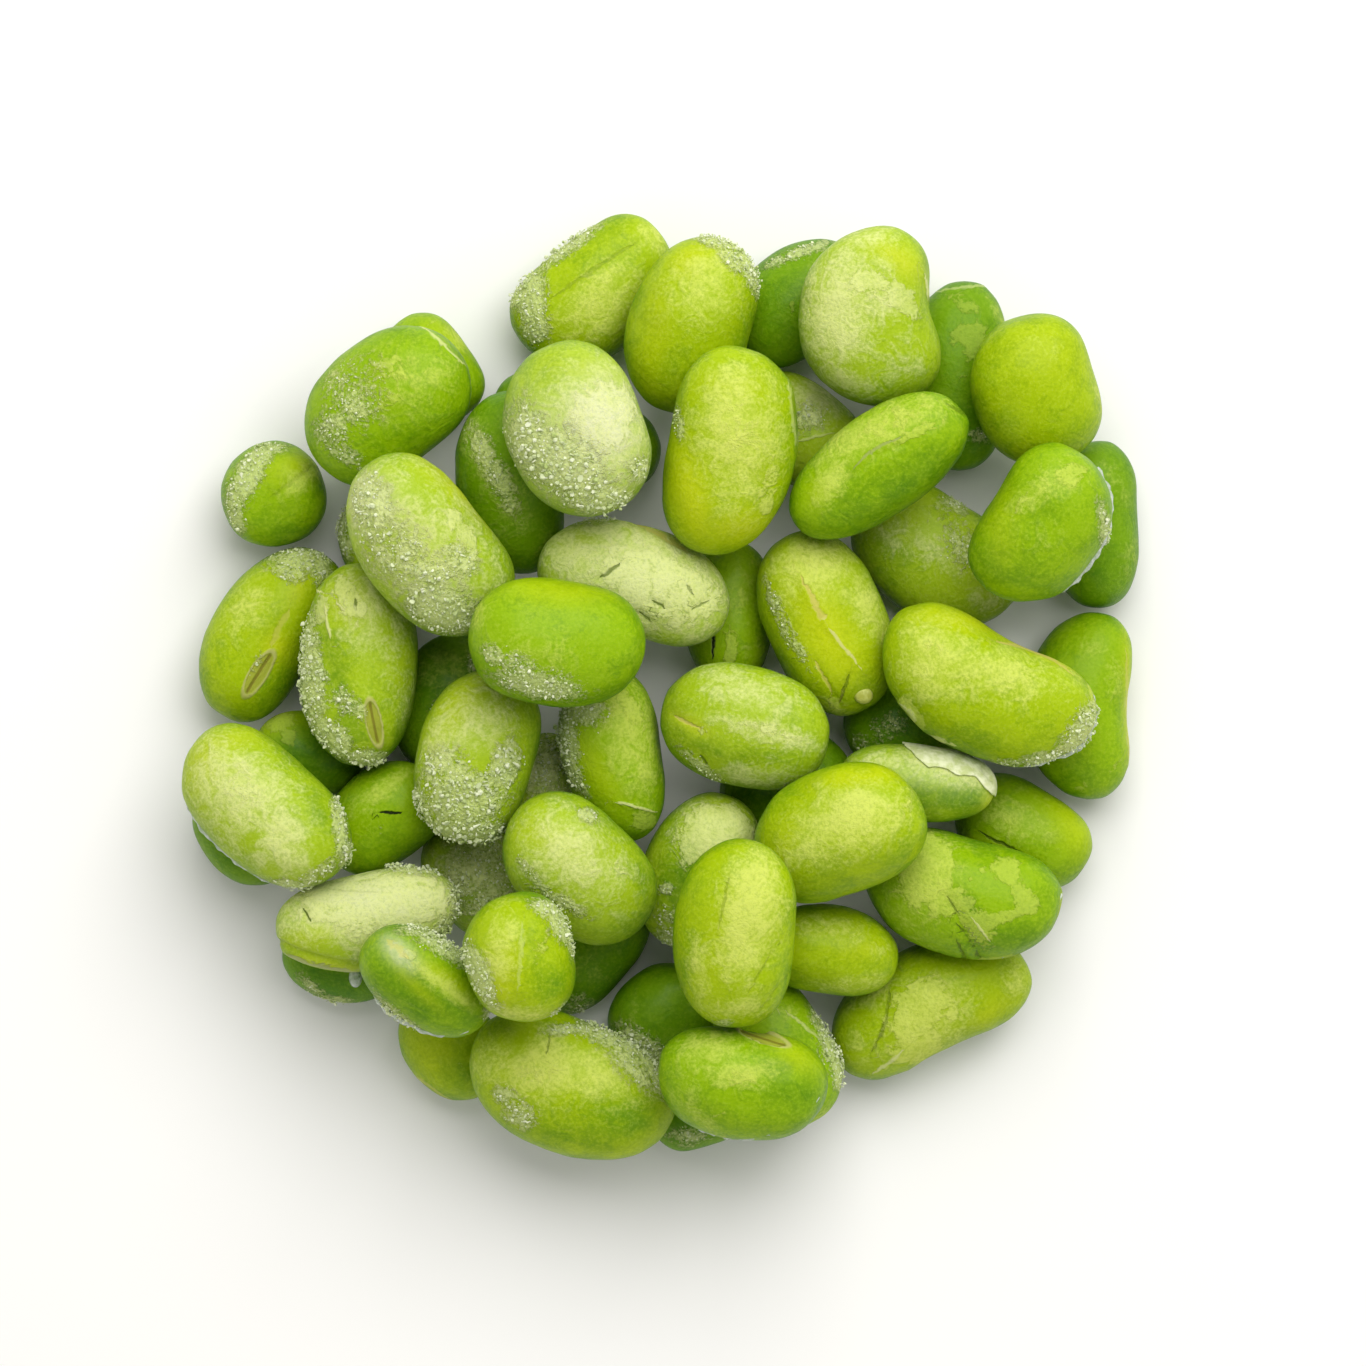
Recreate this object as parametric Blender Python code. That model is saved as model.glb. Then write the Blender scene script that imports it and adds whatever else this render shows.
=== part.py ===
"""A heap of shelled, frozen edamame beans, two to three beans deep, lying on a flat surface.

Every bean is one closed solid: an oval with blunt ends, a little flattened, bent towards its eye (the
scar where it hung in the pod). The heap is laid as by hand: the beans come down one after another, each over
its own place, and push one another aside and over until they all lie still with a hair's breadth between them.

The design is in millimetres and the built beans in metres. +Z is up, and the origin is on the surface under
the middle of the heap.
"""

import math
from typing import NamedTuple

import bmesh
import bpy
import numpy as np
from mathutils import Matrix, Vector

MM = 0.001

# The mesh of one bean.
RINGS = 9  # rings of points between the two ends
SIDES = 12  # points in a ring
FULLNESS = 2.25  # 2 gives an ellipsoid, more gives blunter ends

# How the beans lie together, in millimetres and per round of the laying.
GAP = 0.36  # kept between neighbours, as frost keeps them apart
FLAT_SPOT = 0.12  # how much of a bean on the surface is pressed flat
NEARLY_DOWN = 0.45  # a bean with no more than this under it lies on the surface
FIRST_DROP = 13  # height of the first upper bean's middle at the start
NEXT_DROP = 0.7  # how much higher each later one starts
FALL = 0.08  # how far a free bean comes down
HOLD = 0.60  # share of its drift from its own place that a bean makes good
KEEP_TURN = 0.10  # share of its turning away that a bean makes good
ROUNDS = 420  # of falling and pushing
LAST_ROUNDS = 60  # of pushing alone

# The points with which a bean feels its neighbours.
FEEL_RINGS = 13
FEEL_SIDES = 16


class Bean(NamedTuple):
    """A bean's place over the surface and its own size, in millimetres and degrees."""

    east: float
    north: float
    long: float
    wide: float
    deep: float
    heading: float  # way its long axis points, anticlockwise from east
    eye: float = 0  # way its eye faces round that axis: 0 right of the heading, 90 up, 180 left
    bend: float = 0.08  # how strongly it is bent towards its eye
    taper: float = 0.0  # how much fuller its front end is than its back end
    shade: str = "fresh"


# Beans that lie on the surface, most of them half hidden by the ones above.
LOWER = {
    "lower_bean_01": Bean(-5.3, 36.0, 15.8, 10.9, 8.8, 33, 200, 0.12, -0.02, "yellow"),
    "lower_bean_02": Bean(12.7, 35.0, 13.4, 9.6, 8.2, 55, 0, 0.08, 0.0, "deep"),
    "lower_bean_03": Bean(26.8, 28.8, 16.8, 9.8, 8.4, 97, 0, 0.10, 0.0, "deep"),
    "lower_bean_04": Bean(38.8, 15.4, 15.0, 8.8, 8.0, 88, 0, 0.10, 0.0, "deep"),
    "lower_bean_05": Bean(-7.9, 23.2, 15.6, 9.6, 8.4, 163, 0, 0.08, 0.0, "deep"),
    "lower_bean_06": Bean(12.6, 24.2, 12.0, 9.2, 7.8, 130, 0, 0.06, 0.0, "pale"),
    "lower_bean_07": Bean(-20.3, 29.3, 10.4, 8.2, 7.4, 125, 0, 0.06, 0.0, "fresh"),
    "lower_bean_08": Bean(-12.8, 19.4, 16.8, 9.7, 8.4, 114, 0, 0.08, 0.0, "deep"),
    "lower_bean_09": Bean(-24.4, 13.4, 10.6, 8.4, 8.0, 110, 0, 0.06, 0.0, "pale"),
    "lower_bean_10": Bean(-34.1, 17.7, 9.2, 9.3, 9.4, 30, 90, 0.10, 0.0, "fresh"),
    "lower_bean_11": Bean(-33.8, 5.9, 17.0, 10.0, 9.0, 61, 30, 0.12, 0.0, "yellow"),
    "lower_bean_12": Bean(-30.2, -5.6, 10.2, 8.0, 7.6, 153, 0, 0.06, 0.0, "deep"),
    "lower_bean_13": Bean(-37.0, -11.8, 10.6, 8.0, 7.2, 125, 0, 0.06, 0.0, "deep"),
    "lower_bean_14": Bean(-24.0, -10.8, 11.6, 8.8, 8.0, 25, 0, 0.06, 0.0, "fresh"),
    "lower_bean_15": Bean(-18.9, -0.4, 13.0, 9.0, 8.0, 72, 0, 0.06, 0.0, "deep"),
    "lower_bean_16": Bean(-16.6, -15.4, 12.2, 9.0, 8.0, 140, 0, 0.06, 0.0, "pale"),
    "lower_bean_17": Bean(-9.6, -8.6, 11.0, 8.4, 7.8, 100, 0, 0.06, 0.0, "pale"),
    "lower_bean_18": Bean(-4.9, -23.6, 12.6, 8.0, 7.6, 65, 0, 0.06, 0.0, "deep"),
    "lower_bean_19": Bean(-0.2, -27.8, 10.2, 9.2, 8.0, 20, 0, 0.06, 0.0, "deep"),
    "lower_bean_20": Bean(3.8, -36.2, 9.0, 7.4, 6.8, 10, 0, 0.06, 0.0, "deep"),
    "lower_bean_21": Bean(10.3, -31.4, 13.6, 10.9, 8.6, 110, 0, 0.08, 0.0, "fresh"),
    "lower_bean_22": Bean(23.6, -27.0, 19.0, 10.5, 9.0, 24, 0, 0.16, 0.0, "yellow"),
    "lower_bean_23": Bean(32.5, -12.0, 12.8, 9.2, 8.0, 150, 0, 0.08, 0.0, "fresh"),
    "lower_bean_24": Bean(37.7, -0.4, 16.8, 10.2, 8.6, 88, 0, 0.20, -0.04, "fresh"),
    "lower_bean_25": Bean(21.8, -2.9, 12.4, 9.0, 8.0, 170, 0, 0.06, 0.0, "deep"),
    "lower_bean_26": Bean(11.4, -7.6, 12.0, 9.4, 8.0, 20, 0, 0.06, 0.0, "deep"),
    "lower_bean_27": Bean(6.5, 7.6, 13.2, 8.0, 8.0, 90, 90, 0.06, 0.0, "fresh"),
    "lower_bean_28": Bean(-28.2, -23.2, 10.8, 7.2, 6.8, 170, 0, 0.06, 0.0, "deep"),
    "lower_bean_29": Bean(-18.3, -30.9, 10.8, 8.6, 7.8, 130, 0, 0.06, 0.0, "yellow"),
    "lower_bean_30": Bean(24.6, 12.8, 16.4, 11.2, 8.6, 146, 0, 0.08, 0.0, "pale"),
}

# Beans that lie on those, in the order in which they were laid.
UPPER = {
    "upper_bean_01": Bean(2.9, 33.1, 16.0, 11.2, 9.4, 78, 0, 0.06, -0.04, "yellow"),
    "upper_bean_02": Bean(18.9, 33.5, 15.9, 12.9, 9.8, 99, 0, 0.14, -0.07, "pale"),
    "upper_bean_03": Bean(33.1, 27.0, 13.6, 11.4, 9.4, 108, 0, 0.05, 0.0, "yellow"),
    "upper_bean_04": Bean(33.7, 15.4, 14.6, 11.0, 9.4, 62, 180, 0.10, 0.03, "fresh"),
    "upper_bean_05": Bean(6.4, 21.8, 18.6, 11.9, 9.4, 89, 180, 0.08, 0.0, "yellow"),
    "upper_bean_06": Bean(19.0, 20.8, 17.7, 9.1, 9.2, 31, 90, 0.06, 0.05, "fresh"),
    "upper_bean_07": Bean(-7.2, 23.5, 15.5, 12.3, 9.6, 112, 0, 0.06, 0.0, "pale"),
    "upper_bean_08": Bean(-23.5, 25.8, 15.9, 12.0, 9.4, 28, 0, 0.06, 0.0, "fresh"),
    "upper_bean_09": Bean(-20.2, 13.2, 18.0, 11.7, 10.0, 128, 0, 0.08, -0.03, "pale"),
    "upper_bean_10": Bean(-26.6, 3.4, 18.0, 10.4, 9.4, 88, 90, 0.06, 0.0, "pale"),
    "upper_bean_11": Bean(-34.6, -9.9, 17.5, 10.8, 9.6, 131, 0, 0.08, 0.0, "pale"),
    "upper_bean_12": Bean(-16.1, -5.4, 15.6, 10.8, 9.4, 73, 0, 0.06, 0.0, "pale"),
    "upper_bean_13": Bean(15.0, 5.7, 16.8, 10.8, 9.8, 110, 90, 0.06, 0.02, "yellow"),
    "upper_bean_14": Bean(-2.0, 10.5, 17.3, 10.1, 9.0, 160, 180, 0.10, 0.0, "pale"),
    "upper_bean_15": Bean(-3.8, -5.6, 15.6, 9.2, 9.0, 112, 0, 0.06, 0.07, "fresh"),
    "upper_bean_16": Bean(3.3, -14.8, 14.6, 9.6, 8.8, 75, 0, 0.06, 0.0, "pale"),
    "upper_bean_17": Bean(8.0, -2.4, 15.2, 10.8, 9.0, 168, 90, 0.06, 0.0, "pale"),
    "upper_bean_18": Bean(28.7, 0.9, 20.3, 11.8, 9.6, 157, 0, 0.17, 0.02, "yellow"),
    "upper_bean_19": Bean(22.8, -7.4, 13.6, 6.8, 7.2, 173, 0, 0.06, 0.0, "pale"),
    "upper_bean_20": Bean(26.9, -17.2, 17.5, 11.1, 9.6, 161, 0, 0.10, 0.0, "fresh"),
    "upper_bean_21": Bean(15.7, -11.4, 15.8, 11.6, 9.4, 24, 0, 0.06, 0.03, "yellow"),
    "upper_bean_22": Bean(15.0, -22.6, 12.2, 8.2, 8.0, 4, 0, 0.06, 0.0, "yellow"),
    "upper_bean_23": Bean(7.0, -20.3, 16.6, 11.0, 9.4, 80, 0, 0.06, 0.0, "yellow"),
    "upper_bean_24": Bean(-7.3, -14.8, 15.4, 11.0, 9.4, 137, 0, 0.06, 0.0, "pale"),
    "upper_bean_25": Bean(-25.9, -18.8, 16.4, 8.7, 8.4, 8, 180, 0.08, 0.0, "pale"),
    "upper_bean_26": Bean(-20.4, -24.4, 12.8, 7.9, 8.2, 146, 90, 0.08, 0.0, "fresh"),
    "upper_bean_27": Bean(-12.0, -22.5, 11.3, 9.8, 9.4, 98, 0, 0.06, 0.0, "yellow"),
    "upper_bean_28": Bean(-7.6, -34.2, 18.8, 12.2, 9.6, 161, 0, 0.06, 0.04, "yellow"),
    "upper_bean_29": Bean(7.5, -33.6, 15.0, 10.2, 9.0, 172, 0, 0.08, 0.0, "fresh"),
    "upper_bean_30": Bean(-9.0, 5.1, 15.6, 11.4, 9.6, 170, 0, 0.04, 0.0, "fresh"),
}

# Colour (linear red, green, blue) and roughness of each shade of skin.
SHADES = {
    "fresh": ((0.235, 0.450, 0.012), 0.32),
    "yellow": ((0.365, 0.510, 0.020), 0.34),
    "pale": ((0.440, 0.560, 0.125), 0.48),
    "deep": ((0.115, 0.270, 0.006), 0.36),
}


def clear_scene():
    for thing in list(bpy.data.objects):
        bpy.data.objects.remove(thing)


def bean_points(bean, rings, sides, swell=0.0):
    """Points of one bean about its own middle: its two ends, then ring after ring, each swell further out."""
    half_long, half_wide, half_deep = (size / 2 + swell for size in (bean.long, bean.wide, bean.deep))
    points = [(way * half_long, *bean_drift(bean, 1.0)) for way in (-1, 1)]
    for ring in range(rings):
        lean = math.pi * ((ring + 1) / (rings + 1) - 0.5)
        share = math.copysign(abs(math.sin(lean)) ** (2 / FULLNESS), lean)
        radius = math.cos(lean) ** (2 / FULLNESS) * (1 + bean.taper * share)
        for side in range(sides):
            turn = math.tau * side / sides
            out = np.array((-math.cos(turn), math.sin(turn)))
            facing = max(0.0, float(out @ to_eye(bean)))
            dent = 1 - bean.bend * facing**2 * math.exp(-((share / 0.5) ** 2))
            across = out * (half_wide, half_deep) * radius * dent + bean_drift(bean, share)
            points.append((half_long * share, *across))
    return np.array(points)


def to_eye(bean):
    """Direction across the bean in which its eye faces."""
    eye = math.radians(bean.eye)
    return np.array((-math.cos(eye), math.sin(eye)))


def bean_drift(bean, share):
    """How far the bend carries the bean's middle line, at a share of the way to an end."""
    return to_eye(bean) * bean.bend * bean.wide / 2 * share**2


def bean_faces():
    """Faces that close those points: a fan at each end and quads between the rings."""
    faces = []
    first, last = 2, 2 + (RINGS - 1) * SIDES
    for side in range(SIDES):
        after = (side + 1) % SIDES
        faces.append((0, first + side, first + after))
        faces.append((1, last + after, last + side))
        for ring in range(RINGS - 1):
            here, there = first + ring * SIDES, first + (ring + 1) * SIDES
            faces.append((here + side, there + side, there + after, here + after))
    return faces


class Laid:
    """A bean while the heap is laid: where its middle is, how it is turned, and how it feels others."""

    def __init__(self, bean, height):
        self.bean = bean
        self.half = np.array((bean.long, bean.wide, bean.deep)) / 2 + GAP / 2
        self.home = np.array((bean.east, bean.north))
        self.home_turn = Matrix.Rotation(math.radians(bean.heading), 3, "Z").to_quaternion()
        self.middle = np.array((bean.east, bean.north, height))
        self.turn = np.array(self.home_turn.to_matrix())
        self.feelers = bean_points(bean, FEEL_RINGS, FEEL_SIDES, GAP / 2)
        squares = self.half**2
        self.easy = 5 / (squares.sum() - squares)
        self.drift = to_eye(bean) * bean.bend * bean.wide / 2

    def felt(self):
        """The feelers where they now are."""
        return self.feelers @ self.turn.T + self.middle

    def rotate(self, rotation):
        """Turns the bean by a rotation vector."""
        angle = math.sqrt(rotation @ rotation)
        if angle > 1e-9:
            self.turn = np.array(Matrix.Rotation(angle, 3, Vector(rotation))) @ self.turn

    def yielding(self, point, way):
        """How readily the bean gives way at a point, and the turn that this brings."""
        arm = np.cross(point - self.middle, way)
        swing = self.turn @ (self.easy * (arm @ self.turn))
        return 1 + arm @ swing, swing

    def give(self, amount, way, swing):
        self.middle = self.middle + way * amount
        self.rotate(swing * amount)

    def deepest(self, points):
        """How deep the deepest of these points is inside the bean, which one it is, and the way out."""
        own = (points - self.middle) @ self.turn
        share = np.clip(own[:, 0] / self.half[0], -1, 1)
        own[:, 1:] -= share[:, None] ** 2 * self.drift
        across = own[:, 1:] / (self.half[1:] * (1 + self.bean.taper * share)[:, None])
        off_axis = np.sqrt((across**2).sum(axis=1))
        level = np.abs(share) ** FULLNESS + off_axis**FULLNESS
        level[np.abs(own[:, 0]) > self.half[0]] = 2
        index = int(np.argmin(level))
        if level[index] >= 1:
            return 0.0, index, None
        gauge = level[index] ** (1 / FULLNESS)
        steep = np.array(
            (
                abs(share[index]) ** (FULLNESS - 1) * math.copysign(1, share[index]),
                *(off_axis[index] ** (FULLNESS - 2) * across[index]),
            )
        )
        slope = self.turn @ (steep / self.half * gauge ** (1 - FULLNESS))
        size = math.sqrt(slope @ slope)
        return (1 - gauge) / size, index, slope / size

    def settle_home(self):
        """Comes down a little, and goes back a little towards its own place and heading."""
        self.middle[2] -= FALL
        self.middle[:2] += HOLD * (self.home - self.middle[:2])
        back = self.home_turn @ Matrix(self.turn).to_quaternion().inverted()
        axis, angle = back.to_axis_angle()
        angle = (angle + math.pi) % math.tau - math.pi
        self.rotate(np.array(axis) * angle * KEEP_TURN)

    def meet_surface(self):
        felt = self.felt()
        index = int(np.argmin(felt[:, 2]))
        sunk = -FLAT_SPOT - GAP / 2 - felt[index, 2]
        if sunk > 0:
            up = np.array((0.0, 0.0, 1.0))
            weight, swing = self.yielding(felt[index], up)
            self.give(sunk / weight, up, swing)

    def lie_down(self):
        """Ends exactly on the surface if nearly there."""
        lowest = self.felt()[:, 2].min() + GAP / 2
        if lowest < NEARLY_DOWN:
            self.middle[2] -= lowest + FLAT_SPOT


def push_apart(one, other):
    """Pushes two beans apart where one is deepest in the other."""
    for inner, outer in ((one, other), (other, one)):
        felt = inner.felt()
        depth, index, way = outer.deepest(felt)
        if depth > 0:
            inner_weight, inner_swing = inner.yielding(felt[index], way)
            outer_weight, outer_swing = outer.yielding(felt[index], way)
            amount = depth / (inner_weight + outer_weight)
            inner.give(amount, way, inner_swing)
            outer.give(-amount, way, outer_swing)


def lay_heap():
    """Lets all the beans come to rest together."""
    heap = [Laid(bean, bean.deep / 2) for bean in LOWER.values()]
    heap += [Laid(bean, FIRST_DROP + NEXT_DROP * turn) for turn, bean in enumerate(UPPER.values())]
    for round_number in range(ROUNDS + LAST_ROUNDS):
        if round_number < ROUNDS:
            for laid in heap:
                laid.settle_home()
        for index, one in enumerate(heap):
            for other in heap[index + 1 :]:
                apart = one.middle - other.middle
                if apart @ apart < (one.half[0] + other.half[0]) ** 2:
                    push_apart(one, other)
        for laid in heap:
            laid.meet_surface()
    for laid in heap:
        laid.lie_down()
    return heap


def skin(shade):
    """The material of one shade of bean."""
    name = f"skin_{shade}"
    material = bpy.data.materials.get(name)
    if material is None:
        colour, roughness = SHADES[shade]
        material = bpy.data.materials.new(name)
        material.use_nodes = True
        shader = material.node_tree.nodes["Principled BSDF"]
        shader.inputs["Base Color"].default_value = (*colour, 1)
        shader.inputs["Roughness"].default_value = roughness
        shader.inputs["Metallic"].default_value = 0
        material.diffuse_color = (*colour, 1)
    return material


def press_flat(mesh, surface, up):
    """Cuts off what lies under the surface and closes the cut. Both arguments are in the bean's own frame."""
    form = bmesh.new()
    form.from_mesh(mesh)
    cut = bmesh.ops.bisect_plane(
        form,
        geom=form.verts[:] + form.edges[:] + form.faces[:],
        plane_co=surface,
        plane_no=up,
        clear_inner=True,
    )
    rim = [item for item in cut["geom_cut"] if isinstance(item, bmesh.types.BMEdge)]
    bmesh.ops.edgenet_fill(form, edges=rim)
    bmesh.ops.recalc_face_normals(form, faces=form.faces[:])
    form.to_mesh(mesh)
    form.free()


def make_bean(name, laid, shift, heap):
    """The bean's object, placed and turned as it lies, with a flat spot where it meets the surface."""
    mesh = bpy.data.meshes.new(name)
    points = [Vector(point) * MM for point in bean_points(laid.bean, RINGS, SIDES)]
    mesh.from_pydata(points, [], bean_faces())
    middle = Vector(laid.middle + shift) * MM
    turn = Matrix(laid.turn).to_quaternion()
    place = Matrix.LocRotScale(middle, turn, None)
    if min((place @ point).z for point in points) < 0:
        to_own = place.inverted()
        press_flat(mesh, to_own.translation, to_own.to_3x3() @ Vector((0, 0, 1)))
    mesh.shade_smooth()
    mesh.materials.append(skin(laid.bean.shade))
    thing = bpy.data.objects.new(name, mesh)
    thing.parent = heap
    thing.location = middle
    thing.rotation_mode = "QUATERNION"
    thing.rotation_quaternion = turn
    bpy.context.scene.collection.objects.link(thing)


def build():
    clear_scene()
    heap = bpy.data.objects.new("heap", None)
    bpy.context.scene.collection.objects.link(heap)
    laid_beans = lay_heap()
    outer = np.vstack([bean_points(laid.bean, RINGS, SIDES) @ laid.turn.T + laid.middle for laid in laid_beans])
    shift = -(outer.min(axis=0) + outer.max(axis=0)) / 2 * (1, 1, 0)
    for name, laid in zip(LOWER | UPPER, laid_beans):
        make_bean(name, laid, shift, heap)


build()
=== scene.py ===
# %% [markdown]
# # A heap of frozen, shelled edamame beans
#
# The heap is already built as sixty plain solids, one a bean. This lesson dresses them: each bean gets a
# round skin with its own dents, seams and scars, a skin material that turns from wet and glossy to dull with
# haze, and a crust of small ice crystals where rime has settled. Lengths are in metres, and a bean is about
# 15 mm long, so small sizes are written in millimetres times MM.

# %% Load the heap
import math
from contextlib import contextmanager
from functools import partial
from typing import NamedTuple

import bpy
import numpy as np
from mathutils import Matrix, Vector, noise


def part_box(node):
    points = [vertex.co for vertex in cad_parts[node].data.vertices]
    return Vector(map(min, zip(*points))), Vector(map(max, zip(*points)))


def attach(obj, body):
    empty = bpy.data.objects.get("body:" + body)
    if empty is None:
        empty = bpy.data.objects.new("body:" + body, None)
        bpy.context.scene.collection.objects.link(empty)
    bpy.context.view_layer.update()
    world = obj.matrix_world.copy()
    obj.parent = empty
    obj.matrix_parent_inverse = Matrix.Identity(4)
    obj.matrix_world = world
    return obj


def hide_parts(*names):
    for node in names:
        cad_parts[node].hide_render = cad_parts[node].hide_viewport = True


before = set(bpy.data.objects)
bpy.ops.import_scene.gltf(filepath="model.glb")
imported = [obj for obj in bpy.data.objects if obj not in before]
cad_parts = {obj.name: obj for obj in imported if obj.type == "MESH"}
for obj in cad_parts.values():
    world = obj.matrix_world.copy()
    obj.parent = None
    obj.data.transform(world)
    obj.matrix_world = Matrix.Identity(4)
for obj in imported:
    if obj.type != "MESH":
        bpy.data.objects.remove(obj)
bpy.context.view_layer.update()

MM = 0.001

# %% [markdown]
# ## Camera
#
# The heap is seen from straight above. A camera added with no rotation already looks down its own -Z, so it
# only has to be placed. A long lens far away keeps the outer beans from leaning outwards. The Standard view
# transform shows colours as they are, so that white stays white and green stays strong.

# %% Camera over the heap
CAMERA_HEIGHT = 0.710
CAMERA_EAST = 0.0018
CAMERA_NORTH = 0.00025
SENSOR_WIDTH_MM = 36
SEEN_WIDTH = 0.12088
SEEN_LEVEL = 0.010

bpy.ops.object.camera_add(location=(CAMERA_EAST, CAMERA_NORTH, CAMERA_HEIGHT), rotation=(0, 0, 0))
camera = bpy.context.object
camera.name = "camera"
camera.data.sensor_width = SENSOR_WIDTH_MM
camera.data.lens = SENSOR_WIDTH_MM * (CAMERA_HEIGHT - SEEN_LEVEL) / SEEN_WIDTH
bpy.context.scene.camera = camera
bpy.context.scene.view_settings.view_transform = "Standard"
print("lens in mm:", round(camera.data.lens, 1))

# %% [markdown]
# ## Light and floor
#
# A white room with a dimmer ceiling gives the even light of a studio, stronger from the sides than from
# above. One large area lamp beyond the top of the heap lets the shadows fall towards the camera's lower left.
# The floor is a plain pale sheet of one colour all over.


# %% Helpers for shaders
def set_inputs(node, values):
    """Sets sockets of a node by their names."""
    for socket, value in values.items():
        node.inputs[socket].default_value = value


def new_material(name):
    """A new material with its node tree and its shader."""
    material = bpy.data.materials.new(name)
    material.use_nodes = True
    return material, material.node_tree, material.node_tree.nodes["Principled BSDF"]


# %% The room's light
WALL_LIGHT = 0.70
CEILING_LIGHT = 0.18
CEILING_START = 0.70
CEILING_END = 0.94
AIR_COLOUR = (1.0, 1.0, 0.98, 1)

world = bpy.data.worlds[0] if bpy.data.worlds else bpy.data.worlds.new("room")
bpy.context.scene.world = world
world.use_nodes = True
room = world.node_tree
ceiling = room.nodes.new("ShaderNodeMapRange")
ceiling.interpolation_type = "SMOOTHSTEP"
set_inputs(ceiling, {"From Min": CEILING_START, "From Max": CEILING_END})
set_inputs(ceiling, {"To Min": WALL_LIGHT, "To Max": CEILING_LIGHT})
height = room.nodes.new("ShaderNodeSeparateXYZ")
room.links.new(room.nodes.new("ShaderNodeTexCoord").outputs["Generated"], height.inputs[0])
room.links.new(height.outputs["Z"], ceiling.inputs["Value"])
room.links.new(ceiling.outputs["Result"], room.nodes["Background"].inputs["Strength"])
set_inputs(room.nodes["Background"], {"Color": AIR_COLOUR})
print("walls", WALL_LIGHT, "and ceiling", CEILING_LIGHT)

# %% Lamp and floor
LAMP_PLACE = Vector((0.10, 0.28, 0.45))
LAMP_SIZE = 0.50
LAMP_POWER = 3.1
FLOOR_SIZE = 3.0
PAPER_COLOUR = (0.92, 0.905, 0.875, 1)

facing = LAMP_PLACE.to_track_quat("Z", "Y").to_euler()
bpy.ops.object.light_add(type="AREA", location=LAMP_PLACE, rotation=facing)
lamp = bpy.context.object
lamp.name = "window_lamp"
lamp.data.size = LAMP_SIZE
lamp.data.energy = LAMP_POWER

bpy.ops.mesh.primitive_plane_add(size=FLOOR_SIZE, location=(0, 0, 0))
floor = bpy.context.object
floor.name = "floor"
paper, _, paper_shader = new_material("paper")
set_inputs(paper_shader, {"Base Color": PAPER_COLOUR, "Roughness": 0.9, "Specular IOR Level": 0.1})
floor.data.materials.append(paper)
print("stage set with", floor.name, "and", lamp.name)

# %% [markdown]
# ## Marks
#
# No two beans look alike. What sets them apart is written as marks: an oval spot on the upper side of a bean,
# placed by its share of the bean's own box, from west to east and from south to north, with its half length
# and half width in millimetres and the way its length runs. Haze is a dull, pale bloom with a soft edge and
# film the same with a sharp edge; on a few ridges a haze mark is a painted highlight. Frost is a whiter veil
# and rime a crust of crystals. Sun is a yellower green: partly the skin's own tone, partly a painted
# highlight on lit upper sides and ridges. Deep is a darker green: partly the skin's own tone, partly painted
# shade on lower sides and in hollows. A dent sinks or raises the skin. A seam, crease, lip or slit is a
# narrow line;
# creases and slits are drawn dark, as painted shade in their folds and splits. A scar is the bean's eye,
# where it hung in the pod.


# %% What a mark is
class Mark(NamedTuple):
    """One spot or line on a bean."""

    kind: str
    east: float
    north: float
    long: float
    wide: float
    turn: float = 0
    amount: float = 1
    lift: float = 0
    bow: float = 0


haze, film, frost, rime = (partial(Mark, kind) for kind in ("haze", "film", "frost", "rime"))
sun, deep, scar, dent = (partial(Mark, kind) for kind in ("sun", "deep", "scar", "dent"))
seam, crease, lip, slit = (partial(Mark, kind) for kind in ("seam", "crease", "lip", "slit"))
MARKS = {}

# %% Marks on the lower beans of the far side
MARKS["lower_bean_01"] = [
    haze(0.55, 0.35, 4.2, 2.3, 35, 0.85), haze(0.89, 0.85, 1.8, 1.8, 0, 0.7),
    dent(0.48, 0.67, 3.9, 1.5, 35, 1, -0.3), crease(0.5, 0.58, 4.6, 0.3, 33, 0.3, -0.16),
    rime(0.12, 0.42, 3.2, 1.15, 100), rime(0.34, 0.79, 3, 0.8, 38, 0.8), rime(0.16, 0.2, 1.2, 0.9, 0, 0.9),
    rime(0.04, 0.45, 0.7, 0.9),
]
MARKS["lower_bean_02"] = [
    deep(0.43, 0.33, 4, 4.9, 0, 0.2), rime(0.49, 0.89, 3.1, 0.45, 22, 0.75),
    film(0.43, 0.43, 1.2, 0.3, 75, 0.6), haze(0.64, 0.82, 1.8, 0.7, 20, 0.3),
]
MARKS["lower_bean_03"] = [
    film(0.58, 0.89, 1.9, 0.8, -32, 0.75), film(0.67, 0.7, 1.6, 1.1), film(0.62, 0.61, 1.1, 0.7, -80, 0.9),
    film(0.59, 0.48, 0.7, 0.3, 20, 0.6), haze(0.93, 0.79, 2.3, 0.45, -52, 0.6),
    rime(0.78, 0.17, 1.2, 0.55, 0, 0.55), deep(0.63, 0.21, 3.5, 2.7, 90, 0.6),
    lip(0.6, 0.96, 2.7, 0.2, 5, 0.4, 0.06),
]
MARKS["lower_bean_04"] = [
    haze(0.76, 0.76, 2.3, 0.7, -60, 0.45), haze(0.89, 0.29, 2.7, 1.1, 80, 0.3),
    deep(0.55, 0.29, 3.5, 1.8, 80, 0.4),
]
MARKS["lower_bean_05"] = [
    deep(0.16, 0.83, 1.8, 1.8, 0, 0.6), haze(0.13, 0.75, 0.9, 1.2, 0, 0.3),
    rime(0.93, 0.05, 1.1, 0.9, 0, 0.4),
]
MARKS["lower_bean_06"] = [
    haze(0.59, 0.74, 3, 2.1, 0, 0.75), rime(0.55, 0.63, 1.9, 1.2, 20, 0.6),
    lip(0.61, 0.42, 1.8, 0.2, 12, 0.5, 0.1), haze(0.69, 0.88, 2.1, 0.55, -10, 0.5),
]
MARKS["lower_bean_07"] = [
    haze(0.75, 0.76, 1.4, 1.2, 0, 0.5), sun(0.67, 0.8, 2.7, 1.8, 0, 0.5),
    film(0.5, 0.88, 0.9, 0.3, 30, 0.6),
]
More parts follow.
